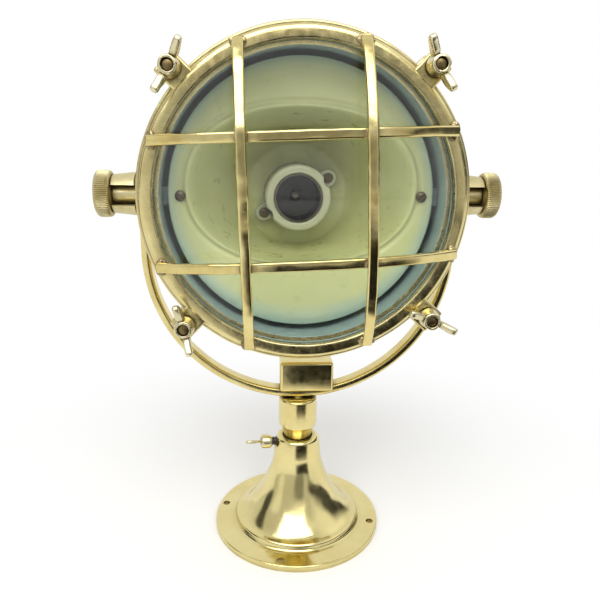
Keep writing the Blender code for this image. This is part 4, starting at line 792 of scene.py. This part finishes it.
def cage():
    """Two upright bars over two level ones, brazed to the ring and to each other."""
    for number, (word, ends) in enumerate(UPRIGHTS.items()):
        cage_bar(f"flat_bar_{word}", ends, RISE, True, number)
    rises = {}
    for number, (word, ends) in enumerate(LEVELS.items()):
        rises[word] = min(level_rise(upright, ends) for upright in UPRIGHTS.values())
        cage_bar(f"flat_bar_{word}", ends, rises[word], False, number + 2)
    mounds = []
    for ends in UPRIGHTS.values():
        for share in (-1, 1):
            spot = bar_at(ends, RISE, True, share)
            mounds.append(((spot.x, spot.y * 0.985, 50.6), (4.6, 3, 1.5), 0.3))
    for word, ends in LEVELS.items():
        for share in (-1, 1):
            spot = bar_at(ends, rises[word], False, share)
            mounds.append(((spot.x * 0.985, spot.y, 50.6), (3, 4.6, 1.5), 0.3))
        for upright in UPRIGHTS.values():
            x, y = crossing(upright, ends)
            height = FOOT + RISE * crown(share_of(y, upright)) - 2.2
            mounds.append(((x, y, height), (3.5, 3.5, 1.15), 0.35))
    beads = [blob(*mound, BEAD_STEP * number) for number, mound in enumerate(mounds)]
    piece("braze_beads", joined(*beads), "head", BRAZE, None, HEAD)


# --- swing bolts

NUT_FOOT, NUT_TOP, NUT_BORE = 21.1, 30.1, 3.3
WING = [(4, 1.2), (9.3, 2.9), (13.9, 7.2), (15.3, 10.9), (13.2, 12.9), (9.7, 11.4), (4, 8.2)]


def bolts():
    """At each spoke of the rim a hinge pin, a bolt with an eye, and a cast nut with two wings."""
    lay = spin(-90, "X")
    for place, angle in SPOKES.items():
        at = HEAD @ spin(angle) @ shift(HINGE_REACH, 0, HINGE_DEPTH)
        pin = lathe([(0, -6.8), (2, -6.8, 0.4), (2, 6.8, 0.4), (0, 6.8)], 32, 3)
        piece(f"pin_{place}", pin, "head", OLD_BRASS, f"hinge_pin_{place}", at @ lay)
        eye = lathe([(2.3, -3, 0.4), (5.2, -3, 0.9), (5.2, 3, 0.9), (2.3, 3, 0.4)], 48, 4, True)
        shank = threaded(3, 0.55, PITCH, 3.4, 27)
        end = lathe([(0, 26.5), (3.18, 26.5), (3.18, 28.6, 0.9), (0, 29.1)], 40, 5)
        bolt = joined(placed(eye, lay), shank, end)
        piece(f"eye_bolt_{place}", bolt, f"bolt_{place}", OLD_BRASS, f"swing_bolt_{place}", at)
        hub = [(NUT_BORE, NUT_FOOT, 0.3), (6, NUT_FOOT, 0.8), (4.9, NUT_TOP, 1.4), (NUT_BORE, NUT_TOP, 0.3)]
        parts = [lathe(hub, 56, 5, True)]
        turn = spin(WING_TURNS[place] - angle) @ shift(0, 0, NUT_FOOT) @ spin(90, "X")
        for side in (1, -1):
            wing = prism(chaikin([(side * x, z) for x, z in WING], 3), -2, 2, 1.55, 5, 60)
            parts.append(placed(wing, turn))
        nut = wavy(joined(*parts), 0.35, 5, lambda p: p.to_2d().length < 3.6)
        piece(f"thumb_nut_{place}", nut, f"nut_{place}", NUT_BRASS, f"wing_nut_{place}", at, 50)


# --- screen and lampholder

DROP = 3.2
SCREEN_RADIUS, SCREEN_FACE = 76, 16
BOWL_WIDTH, BOWL_HEIGHT, BOWL_RAISED, BOWL_ROUND = 66, 45, 5.5, 2.2
BOWL_FLOOR, BOWL_DEPTH, BOWL_HOLE = 31, -44.5, 20.3
GROOVE, GROOVE_DEPTH = 5, 1.2
SHEET = 0.8
EAR_REACH, EAR_HOLE = 23, 1.8
TAB_SCREW = 69.6


def ear_turn(side):
    """The lampholder's ears stand a little off the horizontal."""
    return spin(28.4 + (0 if side > 0 else 180))


def bowl_edge(angle, more=0):
    """The bowl's outline: an oval whose middle stands above the lampholder."""
    across, along = math.cos(angle), math.sin(angle)
    reach = (abs(across) ** BOWL_ROUND + abs(along) ** BOWL_ROUND) ** (-1 / BOWL_ROUND)
    return Vector(((BOWL_WIDTH + more) * across * reach, BOWL_RAISED + (BOWL_HEIGHT + more) * along * reach))


def bowl_point(share, angle, more=0):
    floor_point = Vector((BOWL_FLOOR * math.cos(angle), BOWL_FLOOR * math.sin(angle) - DROP))
    spot = floor_point.lerp(bowl_edge(angle, more), share)
    return (spot.x, spot.y)


def screen():
    """Dished screen: a flange, a pressed groove, an oval bowl with a hole in its floor, and two screws."""
    steps = RING_STEPS
    angles = [2 * math.pi * k / steps for k in range(steps)]
    slope = bezier((1, SCREEN_FACE), (0, BOWL_DEPTH), ((0.2, 0.02), (0.62, 0.93)), 40, True)
    rim_edge = ((0, -SHEET), (0.4, -SHEET / 2), (0, 0))
    rings = [circle(SCREEN_RADIUS + more, SCREEN_FACE + low, steps) for more, low in rim_edge]
    for share in (0.8, 0.6, 0.4, 0.2):
        ring = []
        for a in angles:
            edge = Vector(bowl_point(1, a, GROOVE))
            spot = edge.lerp(Vector((SCREEN_RADIUS * math.cos(a), SCREEN_RADIUS * math.sin(a))), share)
            ring.append((spot.x, spot.y, SCREEN_FACE))
        rings.append(ring)
    for step in range(10, 0, -1):
        depth = GROOVE_DEPTH * math.sin(math.pi * step / 10) ** 2
        rings.append([(*bowl_point(1, a, GROOVE * step / 10), SCREEN_FACE - depth) for a in angles])
    for share, height in slope:
        rings.append([(*bowl_point(share, a), height) for a in angles])
    for height in (BOWL_DEPTH, BOWL_DEPTH - SHEET):
        rings.append([(x, y - DROP, z) for x, y, z in circle(BOWL_HOLE, height, steps)])
    for share, height in reversed(slope):
        under = height - 1 - 1.4 * share**12
        rings.append([(*bowl_point(share, a, SHEET), under) for a in angles])
    rings.append([(*bowl_point(1, a, GROOVE), SCREEN_FACE - 2.4) for a in angles])
    shape = skin(rings, False)
    drills = []
    for side in SIDES.values():
        drills.append(placed(cylinder(EAR_HOLE, 10, 20, 24), shift(side * TAB_SCREW, 0, 0)))
        ear = shift(0, -DROP, 0) @ ear_turn(side) @ shift(EAR_REACH, 0, 0)
        drills.append(placed(cylinder(EAR_HOLE, -50, -40, 24), ear))
    made = piece("screen_dish", cut(shape, *drills), "head", SCREEN, "reflector", HEAD, 60)
    tint_screen(made)
    for word, side in SIDES.items():
        screw, place = slotted_screw(5.5), HEAD @ shift(side * TAB_SCREW, 0, 16.3) @ spin(35 * side)
        piece(f"screen_screw_{word}", screw, "head", SCREW_METAL, f"reflector_screw_{word}", place)


def tint_screen(made):
    """Marks each point for the painted bluish reflection near the edge, stronger below, and for the painted
    shadow above the holder.
    """
    back = HEAD.inverted()
    edge = made.data.attributes.new("painted_bluish_reflection", "FLOAT", "POINT")
    shadow_share = made.data.attributes.new("painted_shadow_above_holder", "FLOAT", "POINT")
    for number, vert in enumerate(made.data.vertices):
        spot = back @ (vert.co / MM)
        past_edge = math.hypot(spot.x, spot.y) - 70 + 0.06 * max(0, -spot.y)
        from_shadow_middle = math.hypot(spot.x / 1.2, spot.y + DROP - 17)
        edge.data[number].value = max(0, min(1, past_edge / 7))
        shadow_share.data[number].value = max(0, min(1, (46 - from_shadow_middle) / 34))


def slotted_screw(length):
    """A round-headed screw with a slot across it."""
    shank, head, top = 1.5, 3.1, 1.5
    outline = [(0, -length), (shank, -length), (shank, 0), (head, 0, 0.2)]
    outline += [(head, 0.7, 0.5), (1.6, top, 0.8), (0, top)]
    return cut(lathe(outline, 32, 5), box((-4, -0.4, 0.75), (4, 0.4, 3)))


def lampholder():
    """Porcelain body with two ears, painted near black inside for the shade deep in the socket, with its
    screws, its thread and its contact.
    """
    base = HEAD @ shift(0, -DROP, 0)
    outer, inner, front, rear, floor = 20, 14.9, -14, -56, -44
    ear_low, ear_high, half_ear = -44.2, -39.2, 5.2
    outline = [(0, rear), (17, rear, 0.8), (outer, rear + 5, 0.8), (outer, front, 2.4)]
    body = lathe([*outline, (inner, front, 1.6), (inner, floor), (0, floor)], 128, 7)
    lobes, notches = [], []
    tip = arc((EAR_REACH, 0), half_ear, -90, 90, 24)
    for word, side in SIDES.items():
        ear = ear_turn(side) @ shift(EAR_REACH, 0, 0)
        lobe = prism([(17.5, -half_ear), *tip, (17.5, half_ear)], ear_low, ear_high, 0.9, 4, 60)
        drill = placed(cylinder(EAR_HOLE, -60, -30, 24), shift(EAR_REACH, 0, 0))
        lobes.append(placed(cut(lobe, drill), ear_turn(side)))
        notches.append(placed(cylinder(5, ear_high, -10, 48), ear))
        seat = base @ ear @ shift(0, 0, -38.9) @ spin(50 * side)
        screw = slotted_screw(8.9)
        piece(f"holder_screw_{word}", screw, "head", SCREW_METAL, f"lampholder_screw_{word}", seat)
    body = bevelled(cut(body, *notches), 0.5, 3, 55)
    made = piece("porcelain_body", joined(body, *lobes), "head", PORCELAIN, "lampholder_body", base)

    # Painted shade: the inner faces of the socket get a near-black paint.
    def deep_in_socket(spot, lean, radial):
        return math.hypot(spot.x, spot.y + DROP) < 15.3 and floor - 0.5 < spot.z < front - 1

    paint_faces(made, SOCKET_SHADE, deep_in_socket)
    # Thread and contact in near-black brass: painted shade deep in the socket.
    wall = threaded(14.1, 1, 3.6, -43.7, -15.4, 96, inside=14.6)
    piece("screw_shell", wall, "head", SHADED_SHELL_BRASS, "lamp_screw_shell", base, 60)
    contact = lathe([(0, -43.7), (4, -43.7, 0.3), (4, -41.5, 0.8), (1.5, -40.5, 0.8), (0, -40.5)], 40)
    piece("centre_contact", contact, "head", SHADED_SHELL_BRASS, "lamp_centre_contact", base)


def gland():
    """Cable gland in the back: a turned body, a rubber seal, and a hexagon nut with a turned face."""
    base = HEAD @ shift(0, -GLAND_DROP, 0)
    bore, barrel, collar = 4.2, 7.6, 11
    outline = [(bore, -58), (bore, -71.3), (barrel, -71.3, 0.4), (barrel, -66.3), (collar, -66.3, 0.5)]
    outline += [(collar, -63.3, 0.5), (barrel, -63.3), (barrel, -58, 0.4)]
    body = lathe(outline, 64, 4, True)
    piece("gland_turned", body, "head", BRASS, "cable_gland_body", base)
    seal = flat_ring(bore, barrel, -73.4, -71.6, 0.3, 3, 64)
    piece("gland_seal", seal, "head", RUBBER, "cable_gland_seal", base)
    corners = [math.radians(60 * k + 30) for k in range(6)]
    nut = prism([(10.4 * math.cos(a), 10.4 * math.sin(a)) for a in corners], -75.6, -66.6)
    cone = turned([(9.2, -80), (16, -80), (16, -74.6), (10.6, -74.6), (9.6, -75.2)], 96)
    inner = turned([(0, -80), (bore, -80), (bore, -73.7), (7.9, -73.7), (7.9, -60), (0, -60)], 64)
    nut = bevelled(cut(nut, inner, cone), 0.3, 2, 50)
    piece("gland_nut_hex", nut, "head", BRASS, "cable_gland_nut", base)


def kept_nodes():
    """Solids whose shape is right get their finish only."""
    looks = {"reflector_tab": TAB_PAINT, "terminal_screw": OLD_BRASS, "lampholder_bracket": OLD_BRASS}
    for name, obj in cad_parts.items():
        look = next((m for start, m in looks.items() if name.startswith(start)), None)
        if look is not None:
            obj.data.materials.clear()
            obj.data.materials.append(look)
            edge = obj.modifiers.new("edge", "BEVEL")
            edge.width = 0.3 * MM
            edge.segments = 2
            edge.limit_method = "ANGLE"
            edge.angle_limit = math.radians(50)


for build in (pedestal, lock_screw, stem, block, yoke, trunnions, housing, rim, bezel, lens, cage, bolts):
    build()
for build in (screen, lampholder, gland, kept_nodes):
    build()

# --- stage, light and camera

FLOOR_HALF = 6
WHITE_FROM, WHITE_TO = 0.12, 0.36
ROOM_LEVEL, ROOM_LIGHT = 0.64, 0.76
# Azimuth from the front to the right, elevation, squeeze of each axis, outer and inner radius, and strength.
BRIGHT_PLACES = (
    (3, 44, (0.6, 1, 1), 24, 12, 0.3),
    (78, 30, (1, 1, 1), 38, 14, 0.4),
    (-62, 14, (1, 1, 1), 18, 6, 0.3),
    (180, 40, (1, 1, 1), 80, 30, 0.3),
)
DARK_PLACES = (
    (5, 8, (1, 1, 1.4), 22, 9, 0.55),
    (-94, 17, (1, 1, 0.35), 14, 7, 0.88),
    (86, 4, (1, 1, 6), 50, 36, 0.92),
)


def staged(name, mesh, look):
    """Puts a mesh on the stage, which isn't part of the object."""
    mesh.materials.append(look)
    made = linked(name, mesh)
    return made


def floor_look():
    """Plain pale floor. Far from the lamp it is white to the camera, in mirrors and through glass."""
    made, nodes, shader = material("floor")
    nodes.feed(shader, {"Base Color": rgb(0.93, 0.93, 0.92), "Roughness": 0.9, "Specular IOR Level": 0.1})
    where = nodes.add("TexCoord", out=3)
    reach = nodes.add("VectorMath", {0: where}, out=1, operation="LENGTH")
    limits = {"Value": reach, "From Min": WHITE_FROM, "From Max": WHITE_TO}
    away = nodes.add("MapRange", limits, interpolation_type="SMOOTHSTEP")
    path = nodes.tree.nodes.new("ShaderNodeLightPath")
    seen = nodes.math("MAXIMUM", path.outputs["Is Camera Ray"], path.outputs["Is Glossy Ray"])
    seen = nodes.math("MAXIMUM", seen, path.outputs["Is Transmission Ray"])
    white = nodes.add("Emission", {"Color": rgb(1, 1, 1), "Strength": 1})
    share = nodes.math("MULTIPLY", away, seen)
    nodes.surface(nodes.add("MixShader", {0: share, 1: shader.outputs[0], 2: white}))
    return made


def floor():
    mesh = bpy.data.meshes.new("floor")
    corners = [(x * FLOOR_HALF, y * FLOOR_HALF, 0) for x, y in ((-1, -1), (1, -1), (1, 1), (-1, 1))]
    mesh.from_pydata(corners, [], [(0, 1, 2, 3)])
    staged("floor", mesh, floor_look())


def dark_wedge(name, near, far, left, right, height, grey):
    """A dark soft-edged cloth on the floor before the object, between two azimuths. Only mirrors see it."""
    across, along = 24, 42
    mesh = bpy.data.meshes.new(name)
    spots, fades = [], []
    for step in range(along + 1):
        out = step / along
        reach = near * (far / near) ** out
        for turn in range(across + 1):
            share = turn / across
            angle = math.radians(left + (right - left) * share)
            spots.append((reach * math.sin(angle), -reach * math.cos(angle), height))
            inside = min(1.0, share * 5, (1 - share) * 5) * min(1.0, out * 16, (1 - out) * 3)
            fades.append(inside * inside * (3 - 2 * inside))
    row = across + 1
    faces = [(k, k + 1, k + row + 1, k + row) for k in range(row * along) if k % row < across]
    mesh.from_pydata(spots, [], faces)
    mesh.attributes.new("fade", "FLOAT", "POINT").data.foreach_set("value", fades)
    look, nodes, _ = material(name)
    fade = nodes.add("Attribute", out=2, attribute_name="fade")
    clear = nodes.add("BsdfTransparent")
    glow = nodes.add("Emission", {"Color": rgb(grey, grey, grey * 0.9), "Strength": 1})
    nodes.surface(nodes.add("MixShader", {0: fade, 1: clear, 2: glow}))
    made = staged(name, mesh, look)
    made.visible_camera = made.visible_diffuse = made.visible_shadow = made.visible_transmission = False


class Sky(Nodes):
    """The room that metal and glass mirror, by direction: dark and bright places with soft edges."""

    def __init__(self, tree):
        super().__init__(tree)
        self.direction = self.add("TexCoord", out=0)

    def place(self, azimuth, elevation, squeeze, outer, inner):
        """1 inside a spot of the room and 0 outside it, with a soft edge. Angles are in degrees."""
        a, e = math.radians(azimuth), math.radians(elevation)
        centre = Vector((math.sin(a) * math.cos(e), -math.cos(a) * math.cos(e), math.sin(e)))
        centre = Vector(x * y for x, y in zip(centre, squeeze)).normalized()
        squeezed = self.add("VectorMath", {0: self.direction, 1: squeeze}, operation="MULTIPLY")
        unit = self.add("VectorMath", {0: squeezed}, operation="NORMALIZE")
        near = self.add("VectorMath", {0: unit, 1: centre}, out=1, operation="DOT_PRODUCT")
        low, high = (math.cos(math.radians(radius)) for radius in (outer, inner))
        limits = {"Value": near, "From Min": low, "From Max": high}
        return self.add("MapRange", limits, interpolation_type="SMOOTHSTEP")


def studio():
    """White to the camera and through glass, plain light for dull surfaces, and the room for mirrors."""
    world = bpy.data.worlds.new("studio")
    world.use_nodes = True
    bpy.context.scene.world = world
    sky = Sky(world.node_tree)
    level = ROOM_LEVEL
    for *where, gain in BRIGHT_PLACES:
        level = sky.math("ADD", sky.math("MULTIPLY", sky.place(*where), gain), level)
    for *where, loss in DARK_PLACES:
        mask = sky.math("MULTIPLY", sky.place(*where), loss)
        level = sky.math("MULTIPLY", sky.math("SUBTRACT", 1, mask), level)
    path = world.node_tree.nodes.new("ShaderNodeLightPath")
    mirrored = path.outputs["Is Glossy Ray"]
    seen = sky.math("MAXIMUM", path.outputs["Is Camera Ray"], path.outputs["Is Transmission Ray"])
    plain = sky.math("ADD", sky.math("MULTIPLY", seen, 1 - ROOM_LIGHT), ROOM_LIGHT)
    strength = sky.add("Mix", {0: mirrored, 2: plain, 3: level}, data_type="FLOAT")
    sky.feed(world.node_tree.nodes["Background"], {"Color": rgb(1, 1, 1), "Strength": strength})


def lamp(name, place, aim, size, power):
    data = bpy.data.lights.new(name, "AREA")
    data.shape = "RECTANGLE"
    data.size, data.size_y = size
    data.energy = power
    made = linked(name, data)
    made.location = place
    made.rotation_euler = (Vector(aim) - Vector(place)).to_track_quat("-Z", "Y").to_euler()


def look_from(place, turns):
    """The camera: its place in millimetres, and its azimuth, its pitch down and its roll in degrees."""
    camera = linked("camera", bpy.data.cameras.new("camera"))
    bpy.context.scene.camera = camera
    azimuth, pitch, roll = (math.radians(a) for a in turns)
    level = Vector((math.cos(azimuth), math.sin(azimuth), 0))
    heading = Vector((-math.sin(azimuth), math.cos(azimuth), 0))
    ahead = heading * math.cos(pitch) - Vector((0, 0, math.sin(pitch)))
    above = level.cross(ahead)
    across = level * math.cos(roll) + above * math.sin(roll)
    upward = -level * math.sin(roll) + above * math.cos(roll)
    axes = Matrix((across, upward, -ahead)).transposed()
    camera.matrix_world = Matrix.Translation(Vector(place) * MM) @ axes.to_4x4()
    camera.data.sensor_width = 36
    camera.data.lens = 36 * 601 / 600
    camera.data.clip_start = 0.01


floor()
dark_wedge("dark_cloth", near=0.178, far=5, left=-16, right=52, height=0.001, grey=0.018)
studio()
lamp("key", place=(-0.15, -0.95, 1.25), aim=(0, 0, 0.2), size=(1.5, 1.1), power=15)
look_from(place=(-24.88, -376.9, 268.62), turns=(-3.88, 15.6, 0.71))
bpy.context.scene.view_settings.view_transform = "Standard"
